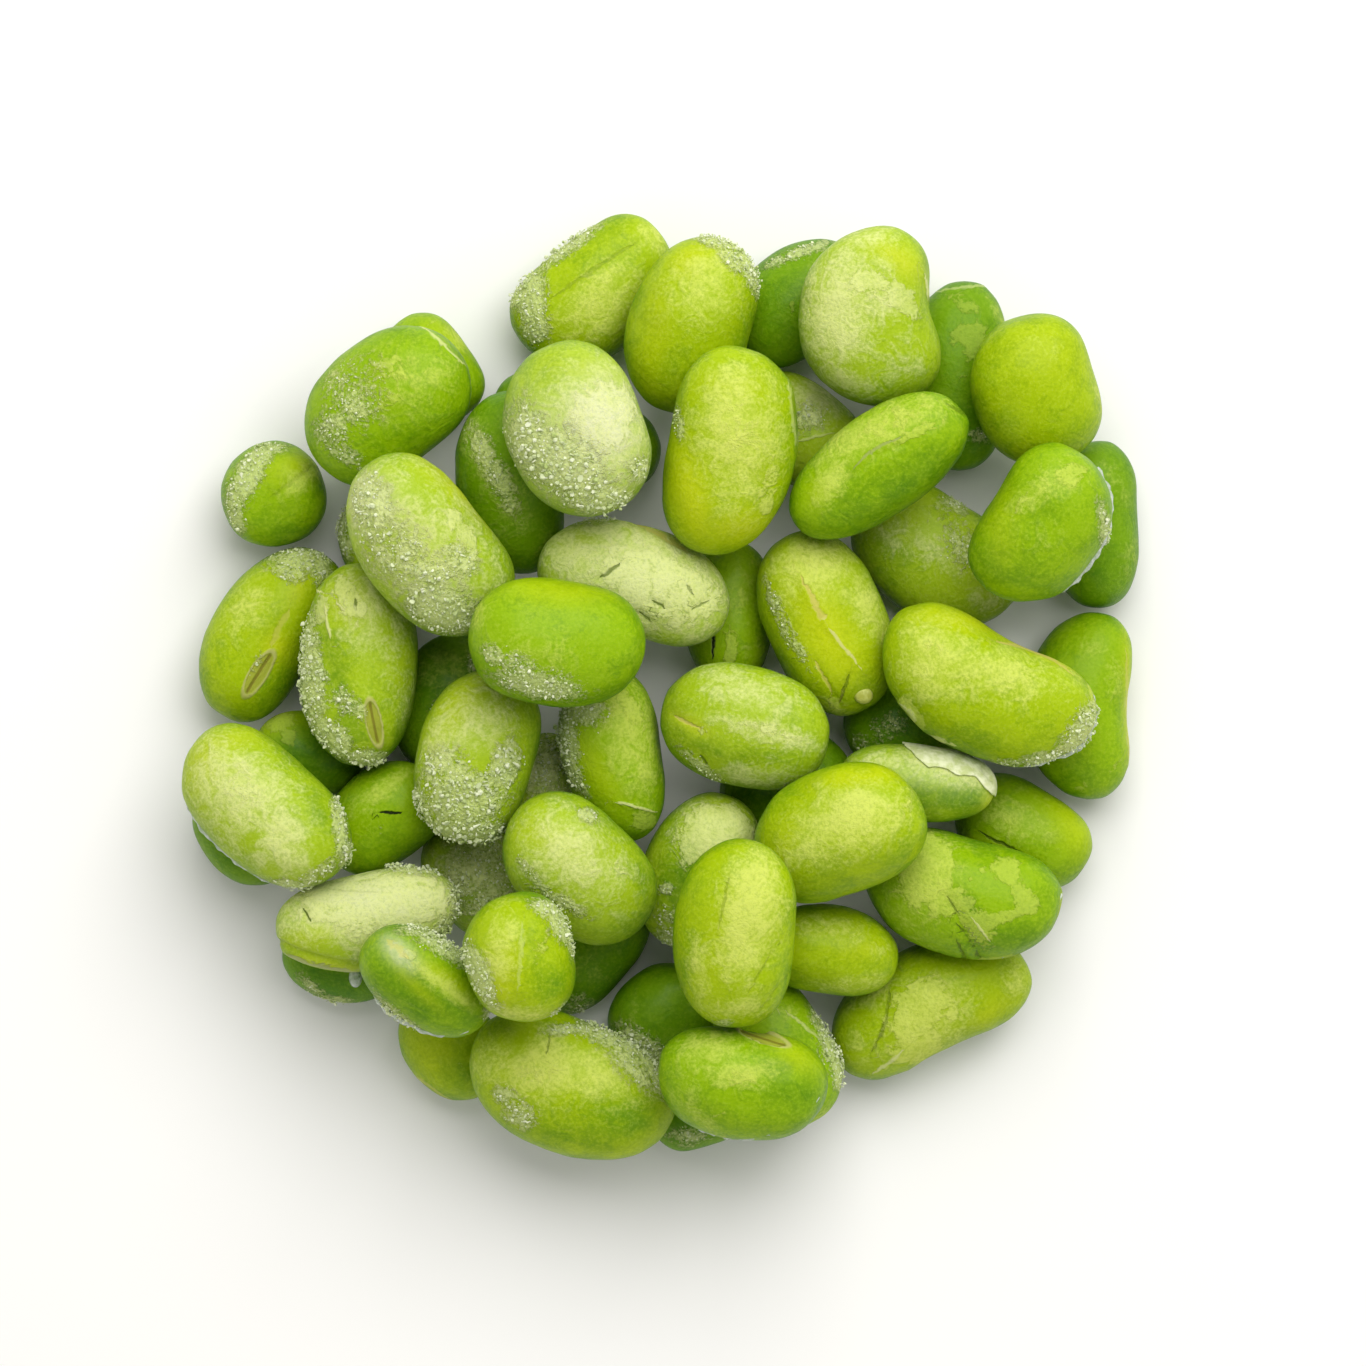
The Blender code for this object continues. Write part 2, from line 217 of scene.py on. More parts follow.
MARKS["lower_bean_08"] = [
    haze(0.25, 0.66, 4.1, 1.1, -68, 0.8), rime(0.34, 0.58, 4.1, 0.9, -62, 0.65),
    haze(0.51, 0.35, 3.2, 1.9, -60, 0.5), rime(0.23, 0.71, 1.1, 0.7, 0, 0.6),
    haze(0.83, 0.16, 1.4, 1.2, 0, 0.5), deep(0.03, 0.68, 2.7, 1.8, 90, 0.4),
]
print("lower beans marked:", len(MARKS))

# %% Marks on the lower beans of the left side
MARKS["lower_bean_09"] = [
    rime(0.05, 0.76, 2.3, 1.2, 80, 0.7), rime(0.11, 0.5, 1.1, 1.1, 0, 0.6),
    deep(0.06, 0.72, 2.7, 1.8, 90, 0.8),
]
MARKS["lower_bean_10"] = [
    rime(0.29, 0.69, 3.2, 1.1, 64), rime(0.15, 0.33, 2.1, 0.7, 100, 0.85),
    # The haze on the ridge in the east half is a painted highlight.
    rime(0.46, 0.92, 1.8, 0.7, 20, 0.6), haze(0.76, 0.65, 2.1, 0.9, 42, 0.7),
    sun(0.74, 0.77, 2.7, 1.2, 20, 0.7), deep(0.74, 0.15, 2.7, 1.2, 10, 0.5),
    crease(0.67, 0.62, 2.3, 0.27, 38, 0.2, -0.14),
]
MARKS["lower_bean_11"] = [
    haze(0.35, 0.71, 3.2, 1.9, 45, 0.55), haze(0.24, 0.47, 2.3, 2.3, 0, 0.15),
    rime(0.71, 0.95, 2.8, 1.1, 0, 0.75), rime(0.63, 0.86, 1.4, 0.9, 0, 0.7),
    rime(0.87, 0.85, 1.2, 0.9, 80, 0.6), scar(0.43, 0.27, 2.4, 0.8, 57), sun(0.55, 0.43, 1.1, 1.1, 0, 0.9),
    seam(0.59, 0.54, 1.9, 0.45, 65, 0.5, -0.08), deep(0.56, 0.19, 3.5, 1.1, 60, 0.6),
    sun(0.7, 0.76, 1.8, 0.7, 70, 0.6), rime(0.41, 0.34, 0.7, 0.35, 57, 0.7),
]
MARKS["lower_bean_12"] = [
    deep(0.49, 0.55, 4.4, 3.2, 0, 0.7), film(0.19, 0.88, 1.8, 1.1, 15, 0.8),
    sun(0.19, 0.88, 2.3, 1.4, 10, 0.9), film(0.32, 0.72, 0.7, 0.8, 0, 0.8),
]
MARKS["lower_bean_13"] = [deep(0.31, 0.28, 2.7, 2.7, 0, 0.6), haze(0.17, 0.23, 1.8, 0.9, -60, 0.3)]
MARKS["lower_bean_14"] = [
    haze(0.51, 0.76, 3.4, 0.7, 36, 0.75), haze(0.3, 0.49, 1.8, 1.8, 0, 0.3), slit(0.55, 0.55, 1, 0.18),
    deep(0.58, 0.31, 2.7, 1.8, 0, 0.3), rime(0.48, 0.43, 0.27, 0.27, 0, 0.6),
]
MARKS["lower_bean_15"] = [
    deep(0.44, 0.66, 4.4, 3.5, 0, 0.75), haze(0.53, 0.8, 2.7, 2.1, 0, 0.5),
    rime(0.79, 0.77, 0.9, 0.9, 0, 0.5), rime(0.44, 0.38, 2.7, 1.2, 80, 0.35),
]
MARKS["lower_bean_16"] = [
    haze(0.48, 0.54, 4.1, 3.5, 0, 0.8), rime(0.5, 0.57, 3.5, 3.5, 0, 0.56),
    rime(0.58, 0.28, 2.5, 1.1, 0, 0.7), deep(0.5, 0.47, 4.4, 3.5, 0, 0.8),
]
MARKS["lower_bean_17"] = [
    haze(0.48, 0.7, 3.5, 3, 90, 0.8), rime(0.48, 0.75, 3.2, 2.7, 90, 0.6),
    deep(0.48, 0.7, 3.5, 3.5, 0, 0.8),
]
print("lower beans marked:", len(MARKS))

# %% Marks on the lower beans of the near and right sides
MARKS["lower_bean_18"] = [
    deep(0.66, 0.36, 3.5, 3.2, 90, 0.6), rime(0.39, 0.03, 1.8, 1.1, 80, 0.45),
    haze(0.57, 0.44, 2.3, 2.3, 0, 0.25),
]
MARKS["lower_bean_19"] = [
    deep(0.5, 0.66, 3.5, 3.5, 0, 0.2), haze(0.24, 0.57, 1.8, 0.45, 80, 0.4),
    haze(0.41, 0.8, 1.8, 1.8, 0, 0.15), rime(0.3, 0.25, 2.6, 1, -40),
]
MARKS["lower_bean_20"] = [rime(0.41, 0.2, 1.8, 0.9, 0, 0.55), deep(0.41, 0.23, 2.7, 1.8, 0, 0.7)]
MARKS["lower_bean_21"] = [
    rime(0.95, 0.59, 3, 1, -68), rime(0.98, 0.36, 1.4, 0.7, -80), haze(0.65, 0.76, 2.7, 0.9, -20, 0.4),
    lip(0.69, 0.7, 2.1, 0.18, -40, 0.5, 0.08), rime(1, 0.44, 0.9, 0.45, 90),
    haze(0.84, 0.05, 2.7, 0.7, 35, 0.5),
]
MARKS["lower_bean_22"] = [
    film(0.46, 0.48, 3, 1.9, 62, 1.1), film(0.42, 0.23, 2.3, 1.8), film(0.59, 0.54, 1.8, 0.9, -60, 0.7),
    haze(0.47, 0.41, 4.6, 3, 60, 0.7), haze(0.94, 0.72, 2.3, 1.6, 60, 0.45),
    film(0.72, 0.7, 1.8, 0.55, 0, 0.6), deep(0.69, 0.34, 5.3, 1.1, 35, 0.6),
    crease(0.27, 0.41, 3, 0.24, 75, 0.5, -0.2, 0.4), lip(0.28, 0.12, 1.8, 0.23, 38, 0.8, 0.14),
    film(0.29, 0.48, 2.7, 0.27, 72, 0.6), haze(0.16, 0.2, 2.1, 1.4, 90, 0.35),
    sun(0.8, 0.48, 2.7, 0.9, 35, 0.5), dent(0.4, 0.01, 1.1, 0.55, 0, 1, 0.15),
    film(0.35, 0.61, 1.4, 0.7, 40, 0.6), haze(0.2, 0.61, 2.7, 1.4, 30, 0.5),
]
MARKS["lower_bean_23"] = [
    haze(0.41, 0.58, 2.8, 1.6, -12, 0.6), crease(0.39, 0.37, 3.2, 0.21, -27, 1, -0.14),
    sun(0.87, 0.56, 3.2, 1.8, -60, 0.7), film(0.69, 0.38, 1.4, 0.55, -15, 0.4),
    deep(0.83, 0.13, 2.1, 0.9, 20, 0.3), haze(0.61, 0.73, 2.3, 0.7, -30, 0.4),
]
MARKS["lower_bean_24"] = [
    haze(0.65, 0.82, 1.1, 0.9, 0, 0.6), haze(0.81, 0.68, 1.9, 1.2, 80, 0.4),
    sun(0.98, 0.53, 5.5, 0.45, 92, 0.9), seam(0.98, 0.5, 5.3, 0.2, 92, 0.5, 0.06),
    film(0.5, 0.06, 0.6, 0.45, 0, 0.6), deep(0.42, 0.93, 2.1, 0.9, 20, 0.45),
    deep(0.33, 0.1, 2.3, 1.4, 20, 0.4), film(0.66, 0.89, 0.45, 0.27, -60, 0.7),
    film(0.84, 0.18, 0.9, 0.27, 50, 0.7),
]
MARKS["lower_bean_25"] = [
    deep(0.42, 0.51, 4.4, 3.2, 0, 0.8), rime(0.31, 0.51, 2.1, 1.1, 20, 0.42),
    rime(0.12, 0.36, 0.9, 1.1, 0, 0.5),
]
MARKS["lower_bean_26"] = [deep(0.41, 0.34, 5.3, 2.7, 0, 0.7), haze(0.53, 0.23, 1.8, 1.1, 0, 0.2)]
MARKS["lower_bean_27"] = [
    slit(0.4, 0.34, 2.3, 0.28, 90), lip(0.32, 0.32, 1.9, 0.22, 90, 0.9, 0.12),
    film(0.5, 0.3, 1.9, 0.6, 90, 0.8), haze(0.67, 0.66, 3, 1.2, 80, 0.45),
    deep(0.89, 0.45, 2.7, 0.7, 90, 0.6), haze(0.78, 0.25, 0.9, 1.1, 0, 0.4),
]
MARKS["lower_bean_28"] = [
    deep(0.44, 0.21, 4.4, 2.7, 0, 0.7), rime(0.29, 0.15, 2.1, 0.7, -50, 0.5),
    rime(0.44, 0.02, 2.3, 0.45, -8, 0.5),
]
MARKS["lower_bean_29"] = [
    sun(0.29, 0.4, 2.7, 2.1, 80, 0.3), deep(0.66, 0.27, 3, 2.3, 90, 0.6),
    film(0.59, 0.36, 0.7, 0.35, 0, 0.4), seam(0.34, 0.1, 2.3, 0.18, -35, 0.5, 0.05),
]
MARKS["lower_bean_30"] = [
    haze(0.43, 0.56, 5.3, 2.3, -20, 0.45), rime(0.65, 0.82, 3, 1.1, 20, 0.6),
    rime(0.63, 0.54, 2.1, 1.4, -60, 0.55), film(0.46, 0.72, 2.7, 0.35, 12, 0.6),
    film(0.67, 0.39, 1.9, 0.35, 40, 0.5), deep(0.23, 0.46, 3.5, 2.1, -20, 0.45),
    haze(0.81, 0.19, 2.1, 1.1, -30, 0.5),
]
print("lower beans marked:", len(MARKS))

# %% Marks on the upper beans of the far side
MARKS["upper_bean_01"] = [
    haze(0.62, 0.71, 3.7, 3.2, 60, 0.6), rime(0.74, 0.97, 2.3, 0.6, -8), rime(0.96, 0.8, 2.8, 0.7, -64),
    rime(0.83, 0.86, 1.4, 0.7, -45, 0.8), sun(0.5, 0.86, 1.8, 1.2, 20, 0.8),
    sun(0.23, 0.48, 4.4, 1.2, 85, 0.4),
]
MARKS["upper_bean_02"] = [
    haze(0.26, 0.54, 5.7, 3, 86, 0.95), haze(0.49, 0.93, 2.5, 1.1, 15, 0.8),
    haze(0.58, 0.59, 2.7, 1.9, -40, 0.7), haze(0.3, 0.14, 2.7, 1.6, -30, 0.7),
    film(0.73, 0.58, 2.1, 1.1, -52, 0.9), film(0.48, 0.68, 2.1, 1.2, -10, 0.8),
    sun(0.69, 0.81, 2.5, 1.15, -32, 0.9), haze(0.75, 0.25, 2.7, 2.3, 0, 0.35),
    lip(0.97, 0.61, 2.1, 0.27, -68, 0.9, 0.12), dent(1, 0.59, 1.9, 0.9, -70, 1, -0.35),
]
MARKS["upper_bean_03"] = [
    haze(0.55, 0.78, 2.3, 1.3, -35, 0.22), sun(0.57, 0.76, 4, 2.6, 0, 0.3),
    haze(0.98, 0.43, 4.4, 0.45, -80, 0.35),
]
MARKS["upper_bean_04"] = [
    film(0.7, 0.81, 1.8, 1.2, 10, 0.7), haze(0.65, 0.8, 2.3, 1.6, 10, 0.5),
    haze(0.46, 0.69, 2.7, 0.9, 40, 0.55), film(0.36, 0.64, 1.6, 0.35, 55, 0.55),
    haze(0.49, 0.39, 2.7, 1.8, 0, 0.2), deep(0.21, 0.26, 3.5, 2.7, 90, 0.5),
    rime(0.98, 0.4, 3.2, 0.6, -75, 0.8), sun(0.21, 0.45, 3.5, 1.4, 90, 0.4),
]
MARKS["upper_bean_05"] = [
    haze(0.56, 0.55, 5.7, 3.4, 92, 0.85), haze(0.48, 0.87, 3.2, 1.2, 0, 0.5),
    film(0.61, 0.6, 2.7, 2.1, 90, 0.5), sun(0.2, 0.27, 4.4, 1.4, 105, 0.95),
    sun(0.59, 0.12, 3, 1.4, 0, 0.9), film(0.78, 0.31, 3, 0.9, 80, 0.55),
    rime(0.1, 0.63, 1.4, 0.45, 100, 0.55), dent(0.7, 0.92, 1.1, 0.7, -30, 1, 0.2),
    lip(0.98, 0.65, 3.5, 0.27, -80, 0.4, 0.08), dent(0.76, 0.3, 2.7, 0.7, 80, 1, -0.16),
    sun(0.53, 0.81, 2.7, 1.1, 0, 0.4),
]
MARKS["upper_bean_06"] = [
    haze(0.46, 0.72, 5.5, 1.8, 24, 0.85), film(0.51, 0.77, 4.4, 1.2, 24, 0.5),
    haze(0.23, 0.4, 2.8, 1.1, 60, 0.75), crease(0.47, 0.55, 2.8, 0.17, 33, 0.6, -0.14, -0.4),
    lip(0.49, 0.6, 2.6, 0.2, 33, 0.3, 0.1, -0.4), film(0.71, 0.7, 2.3, 0.55, 28, 0.75),
    deep(0.71, 0.36, 5.5, 2.1, 27, 0.65), haze(0.66, 0.89, 3.1, 0.7, 4, 0.5),
    dent(1, 0.82, 0.8, 0.7, -40, 1, 0.22), crease(0.94, 0.87, 1.1, 0.2, -35, 0.5, -0.1),
    sun(0.15, 0.33, 1.6, 0.9, 70, 0.4),
]
MARKS["upper_bean_07"] = [
    frost(0.66, 0.5, 4.2, 3.2, 60, 0.85), frost(0.42, 0.34, 5, 3.2, -35, 0.6),
    haze(0.65, 0.48, 5.5, 4.6, 70, 0.8), film(0.7, 0.57, 3.7, 2.8, 60, 0.9),
    rime(0.36, 0.31, 4.6, 2.3, -35), rime(0.65, 0.1, 3, 1.1, -5, 0.95),
    rime(0.18, 0.43, 3.2, 1.1, -80, 0.8), deep(0.48, 0.85, 3, 1.2, 0, 0.25),
    deep(0.88, 0.56, 0.45, 0.45, 0, 0.7), rime(0.92, 0.26, 1.4, 1.1, 0, 0.6),
    sun(0.58, 0.82, 2.7, 1.1, -10, 0.3),
]
MARKS["upper_bean_08"] = [
    rime(0.29, 0.59, 3.4, 3, 60, 0.47), film(0.48, 0.69, 2.8, 1.8, 30, 0.62),
    haze(0.79, 0.7, 1.6, 1.1, 0, 0.5), haze(0.51, 0.64, 5.3, 3, 10, 0.45),
    film(0.52, 0.53, 1.4, 0.6, 30, 0.7), lip(0.81, 0.89, 3, 0.22, -42, 0.7, 0.06),
    deep(0.57, 0.23, 5.3, 1.6, 10, 0.3), rime(0.18, 0.35, 1.9, 1.8, 90, 0.5),
    rime(0.27, 0.19, 2.3, 0.7, -30, 0.5), haze(0.24, 0.7, 2.5, 1.2, 50, 0.5),
]
print("beans marked:", len(MARKS))

# %% Marks on the upper beans of the left side and the middle
MARKS["upper_bean_09"] = [
    frost(0.14, 0.74, 2.6, 2, -60, 0.4), frost(0.55, 0.2, 2.8, 1.8, -30, 0.4),
    haze(0.42, 0.5, 6.7, 5, -46, 0.75), haze(0.11, 0.75, 2.7, 2.3), film(0.7, 0.57, 3, 0.8, -62, 0.8),
    rime(0.15, 0.74, 2.7, 1.9, -70, 0.72), rime(0.57, 0.15, 3, 2.1, -30),
    rime(0.48, 0.34, 1.9, 0.9, -10, 0.9), rime(0.29, 0.47, 3.5, 2.7, -45, 0.55),
    rime(0.68, 0.42, 1.8, 1.2, -30, 0.6), sun(0.7, 0.8, 5.3, 0.9, -42, 0.8),
    deep(0.73, 0.02, 2.7, 0.7, -10, 0.4),
]
MARKS["upper_bean_10"] = [
    haze(0.6, 0.82, 3.5, 3, 90, 0.75), film(0.44, 0.83, 2.7, 1.2, -60, 0.9),
    film(0.2, 0.76, 1.4, 0.7, 85, 0.9), sun(0.44, 0.82, 1.8, 1.8, 0, 0.5),
    lip(0.25, 0.82, 2.1, 0.22, -35, 0.9, 0.16), lip(0.25, 0.71, 1.6, 0.22, 100, 0.9, 0.16),
    crease(0.48, 0.79, 0.55, 0.18, -80, 0.8, -0.15), scar(0.65, 0.22, 2.2, 0.7, 101),
    rime(0.09, 0.46, 5.1, 1.1, 96), rime(0.27, 0.14, 2.3, 1.1, -50), rime(0.61, 0.03, 2.1, 0.7, -12),
    rime(0.38, 0.33, 1.2, 1.1, -60, 0.6), rime(0.53, 0.27, 0.8, 0.45, -80, 0.7),
    deep(0.33, 0.42, 5.3, 1.4, 105, 0.6), haze(0.82, 0.62, 4.4, 1.1, 85, 0.4),
    haze(0.9, 0.37, 2.7, 1.2, 90, 0.3), dent(0.32, 0.37, 4.4, 0.8, 105, 1, -0.2),
]
MARKS["upper_bean_11"] = [
    haze(0.35, 0.61, 4.6, 3.5, -42, 0.95), haze(0.58, 0.29, 3.9, 2.5, -55, 0.8),
    sun(0.14, 0.78, 2.7, 2, 60, 0.7), sun(0.23, 0.89, 3, 0.9, 10, 0.6),
    deep(0.83, 0.44, 4.4, 1.1, -66, 0.35), rime(0.94, 0.38, 3.5, 0.55, -82, 0.85),
    rime(0.81, 0.09, 2.3, 0.7, 40, 0.6), rime(0.69, 0.01, 1.9, 0.55, -15, 0.85),
    rime(0.98, 0.19, 1.4, 0.55, 80), film(0.38, 0.63, 2.7, 2.1, -40, 0.5),
]
MARKS["upper_bean_12"] = [
    haze(0.5, 0.71, 3.9, 3, 70, 0.65), rime(0.38, 0.26, 3.7, 2.7, 10, 0.85), rime(0.4, 0.07, 3.7, 1.1),
    rime(0.72, 0.44, 2.1, 1.2, 70), rime(0.06, 0.18, 2.1, 0.9, -80), rime(0.24, 0.45, 2.3, 1.6, 0, 0.6),
    sun(0.32, 0.8, 3, 1.4, 55, 0.5), haze(0.2, 0.6, 3.2, 1.8, 70, 0.6), deep(0.9, 0.83, 2.7, 0.7, -70, 0.4),
]
MARKS["upper_bean_13"] = [
    haze(0.43, 0.83, 3.7, 2.3, 10, 0.95), film(0.46, 0.87, 2.3, 1.4, 0, 0.7),
    haze(0.84, 0.54, 4.4, 1.4, -62, 0.65), sun(0.52, 0.41, 5, 2.3, -60, 0.9),
    deep(0.64, 0.14, 2.3, 1.2, -40, 0.3), seam(0.48, 0.53, 4.1, 0.45, -54, 1, 0.14, 0.3),
    seam(0.48, 0.19, 1.9, 0.21, -62, 0.8, -0.1), lip(0.63, 0.36, 2.4, 0.2, -52, 0.6, 0.14),
    deep(0.75, 0.15, 2.0, 1.8, 20, 0.7), crease(0.64, 0.14, 1.4, 0.2, 70, 0.6, -0.2),
    rime(0.16, 0.56, 3.5, 0.55, -68, 0.5), rime(0.32, 0.35, 2.7, 0.55, -60, 0.4),
    haze(0.57, 0.02, 2.1, 0.7, -20, 0.6), haze(0.25, 0.68, 1.8, 1.4, -60, 0.5),
]
MARKS["upper_bean_14"] = [
    frost(0.56, 0.55, 6, 2.6, -18, 0.32), haze(0.56, 0.51, 8.1, 4.6, -18),
    film(0.64, 0.48, 7.1, 3.2, -18, 0.8), crease(0.38, 0.59, 1.1, 0.22, 38, 0.75, -0.25),
    crease(0.62, 0.33, 0.7, 0.18, -28, 0.8, -0.22), crease(0.55, 0.23, 0.7, 0.16, -42, 0.7, -0.22),
    seam(0.65, 0.87, 2.7, 0.27, -28, 0.8, -0.12), sun(0.7, 0.83, 3.2, 0.6, -26, 0.9),
    sun(0.91, 0.68, 2.7, 0.7, -30, 0.6), rime(0.32, 1, 2.7, 0.45, 8, 0.55),
    sun(0.19, 0.8, 1.8, 1.4, 0, 0.35), crease(0.85, 0.33, 0.9, 0.14, 30, 0.6, -0.1),
    crease(0.79, 0.44, 0.55, 0.18, -60, 0.6, -0.12),
]
MARKS["upper_bean_15"] = [
    haze(0.69, 0.65, 4.1, 2.3, -72, 0.85), film(0.69, 0.77, 2.3, 0.9, -60, 0.7),
    rime(0.06, 0.61, 3.9, 0.9, -80), rime(0.23, 0.77, 1.8, 1.4, 0, 0.9),
    rime(0.14, 0.39, 1.9, 0.7, -65, 0.9), sun(0.38, 0.42, 3.5, 1.2, -60, 0.5),
    haze(0.82, 0.48, 3.5, 1.8, 80, 0.6), film(0.82, 0.13, 1.4, 0.8, -20),
    lip(0.73, 0.21, 1.9, 0.18, -15, 0.9, 0.15), haze(0.91, 0.88, 1.8, 0.9, -60, 0.4),
]
MARKS["upper_bean_16"] = [
    film(0.65, 0.74, 3.5, 2.7, 25, 1.15), haze(0.65, 0.78, 3.2, 2.7, 0, 0.8),
    deep(0.37, 0.38, 4.4, 2.3, 70, 0.75), rime(0.23, 0.38, 0.55, 0.45, 0, 0.9),
    rime(0.47, 0.39, 0.6, 0.55, 20), rime(0.28, 0.08, 1.8, 1.2, 0, 0.65),
    rime(0.22, 0.22, 1.1, 1.2, 0, 0.5), deep(0.56, 0.06, 1.9, 1.8, 0, 0.6),
    sun(0.62, 0.89, 1.8, 0.7, 0, 0.3),
]
MARKS["upper_bean_17"] = [
    haze(0.5, 0.8, 5.3, 1.8, -14, 0.7), film(0.62, 0.48, 3.4, 0.6, -14, 0.55),
    haze(0.62, 0.47, 4.2, 1.1, -14, 0.75), haze(0.59, 0.13, 4.1, 1.15, 0, 0.6),
    deep(0.53, 0.25, 4.6, 0.8, -6, 0.45), deep(0.82, 0.71, 2.7, 2.1, 90, 0.3),
    seam(0.16, 0.53, 1.4, 0.27, -28, 1, -0.12), sun(0.18, 0.53, 1.8, 0.55, -28, 0.8),
    film(0.25, 0.48, 0.9, 0.45, -10, 0.6), rime(0.25, 0.17, 2.8, 0.45, -38, 0.55),
    crease(0.26, 0.23, 0.55, 0.18, -50, 0.8, -0.15),
]
MARKS["upper_bean_30"] = [
    rime(0.4, 0.19, 3.5, 1.1, -8, 0.85), rime(0.3, 0.3, 1.8, 1.1, -30, 0.7),
    haze(0.35, 0.44, 4.6, 2.3, -15, 0.35), haze(0.07, 0.73, 1.4, 1.1, 80, 0.6),
    film(0.38, 0.67, 3, 0.55, 10, 0.3), sun(0.52, 0.9, 4.4, 1.1, -4, 0.6),
    rime(0.16, 0.4, 1.2, 0.9, -50, 0.5),
]
print("beans marked:", len(MARKS))

# %% Marks on the upper beans of the right side
MARKS["upper_bean_18"] = [
    haze(0.22, 0.63, 3.2, 2.7, 70, 0.85), haze(0.55, 0.57, 5.3, 2.3, -8, 0.62),
    film(0.23, 0.68, 1.4, 1.1, 60, 0.5), sun(0.41, 0.89, 5.3, 1.1, -4, 0.8),
    deep(0.48, 0.15, 5.3, 0.9, -10, 0.35), rime(0.93, 0.2, 2.8, 1.2, 60, 1),
    rime(0.77, 0.05, 2.7, 0.55, 10, 0.7), rime(0.6, 0.02, 2.1, 0.35, 0, 0.5),
    film(1, 0.46, 3.9, 0.45, -80, 0.8), film(0.92, 0.13, 3, 1.6, 30, 0.7), film(0.14, 0.32, 1.8, 0.55, -48),
    lip(0.15, 0.29, 1.8, 0.22, -50, 0.9, 0.2), seam(0.74, 0.74, 3.9, 0.25, -24, 1, -0.12, -0.6),
    sun(0.74, 0.73, 4.2, 0.45, -24, 0.9), lip(0.26, 0.16, 1.8, 0.18, -22, 0.8, 0.12),
    haze(0.83, 0.52, 2.7, 1.8, -40, 0.35),
]
MARKS["upper_bean_19"] = [
    haze(0.75, 0.74, 4.4, 1.2, -12, 0.8), deep(0.9, 0.35, 2.2, 0.9, -20, 0.7),
    haze(0.26, 0.78, 3.2, 0.8, 6, 0.7), deep(0.69, 0.29, 4.1, 1.2, -4, 0.9),
    frost(0.62, 0.62, 4.4, 1.2, -8, 0.3), sun(0.98, 0.29, 1.2, 0.7, 80, 0.7),
    crease(0.95, 0.62, 0.7, 0.2, -55, 0.9, -0.2),
]
MARKS["upper_bean_20"] = [
    film(0.3, 0.7, 3.4, 2.5, 78, 1.1), haze(0.3, 0.64, 4.1, 2.8, 80, 0.7),
    film(0.41, 0.45, 1.8, 1.4, 40, 0.9), film(0.56, 0.27, 2.8, 1.4, -60, 0.75),
    film(0.72, 0.67, 1.5, 1.4, -30), film(0.81, 0.47, 1.9, 0.9, -60, 0.85),
    film(0.69, 0.34, 2.3, 0.6, 15, 0.8), film(0.53, 0.63, 0.35, 0.35), film(0.58, 0.69, 0.31, 0.27),
    crease(0.47, 0.36, 1.8, 0.16, -60, 0.6, -0.2), crease(0.53, 0.14, 2.1, 0.18, -56, 0.7, -0.22),
    crease(0.49, 0.04, 1.4, 0.16, -62, 0.7, -0.2), lip(0.58, 0.23, 1.4, 0.16, -52, 0.8, 0.12),
    deep(0.53, 0.39, 1.4, 0.6, -65, 0.8), deep(0.74, 0.17, 3.9, 1.4, 16, 0.7),
    deep(0.85, 0.83, 2.7, 1.8, -50, 0.3), film(1, 0.42, 3.2, 0.35, 84, 0.7), film(0.69, 0, 3, 0.31, 6, 0.7),
    haze(0.2, 0.27, 2.7, 1.2, -40, 0.5), dent(0.52, 0.19, 3, 0.6, -58, 1, -0.14),
]
MARKS["upper_bean_21"] = [
    haze(0.57, 0.62, 4.6, 2.5, 18, 1), haze(0.3, 0.42, 3, 1.8, 40, 0.6), sun(0.62, 0.92, 3.9, 0.8, 6, 0.8),
    deep(0.57, 0.11, 5.1, 0.9, 14, 0.5), deep(0.88, 0.38, 2.3, 0.9, 80, 0.4),
    sun(0.18, 0.38, 2.7, 1.1, 75, 0.5), film(0.88, 0.71, 1.4, 0.9, 80, 0.45),
]
MARKS["upper_bean_22"] = [
    haze(0.57, 0.74, 3.4, 1.1, 0, 0.5), haze(0.66, 0.13, 3.5, 0.8, 6, 0.5),
    sun(0.74, 0.51, 2.7, 0.9, 0, 0.4), deep(0.62, 0.94, 3.9, 0.45, 0, 0.4),
    haze(0.88, 0.56, 1.1, 1.2, 0, 0.3),
]
print("beans marked:", len(MARKS))

# %% Marks on the upper beans of the near side
MARKS["upper_bean_23"] = [
    haze(0.72, 0.79, 1.9, 1.9, 60, 0.9), haze(0.62, 0.6, 5.7, 2.3, 76, 1),
    haze(0.22, 0.33, 3, 0.9, 100, 0.6), sun(0.35, 0.44, 4.8, 1.1, 78, 0.2), deep(0.1, 0.4, 4, 1, 80, 0.5),
    crease(0.77, 0.35, 2.1, 0.18, 56, 0.25, -0.09), crease(0.69, 0.28, 1.9, 0.16, 58, 0.25, -0.08),
    crease(0.87, 0.23, 1.6, 0.16, 50, 0.25, -0.08), crease(0.79, 0.15, 1.2, 0.14, 52, 0.2, -0.07),
    haze(0.5, 0.1, 3, 1.1, 0, 0.6), crease(0.42, 0.66, 2.3, 0.18, 78, 0.3, -0.06),
    rime(0.4, 0.02, 0.9, 0.35, 0, 0.5),
]
MARKS["upper_bean_24"] = [
    haze(0.5, 0.58, 4.8, 2.9, -38, 0.8), film(0.68, 0.49, 2.3, 1.9, -30, 0.4),
    deep(0.95, 0.35, 3, 1, -70, 0.5), sun(0.31, 0.71, 3.5, 1.4, -20, 0.4),
    rime(0.55, 0.85, 0.8, 0.55, -30, 0.85), rime(0.37, 0.29, 2.7, 0.55, -30, 0.6),
    rime(0.19, 0.47, 2.1, 0.45, -50, 0.4), deep(0.77, 0.09, 2.7, 0.7, 0, 0.4),
    haze(0.18, 0.55, 1.9, 1.4, 30, 0.4),
]
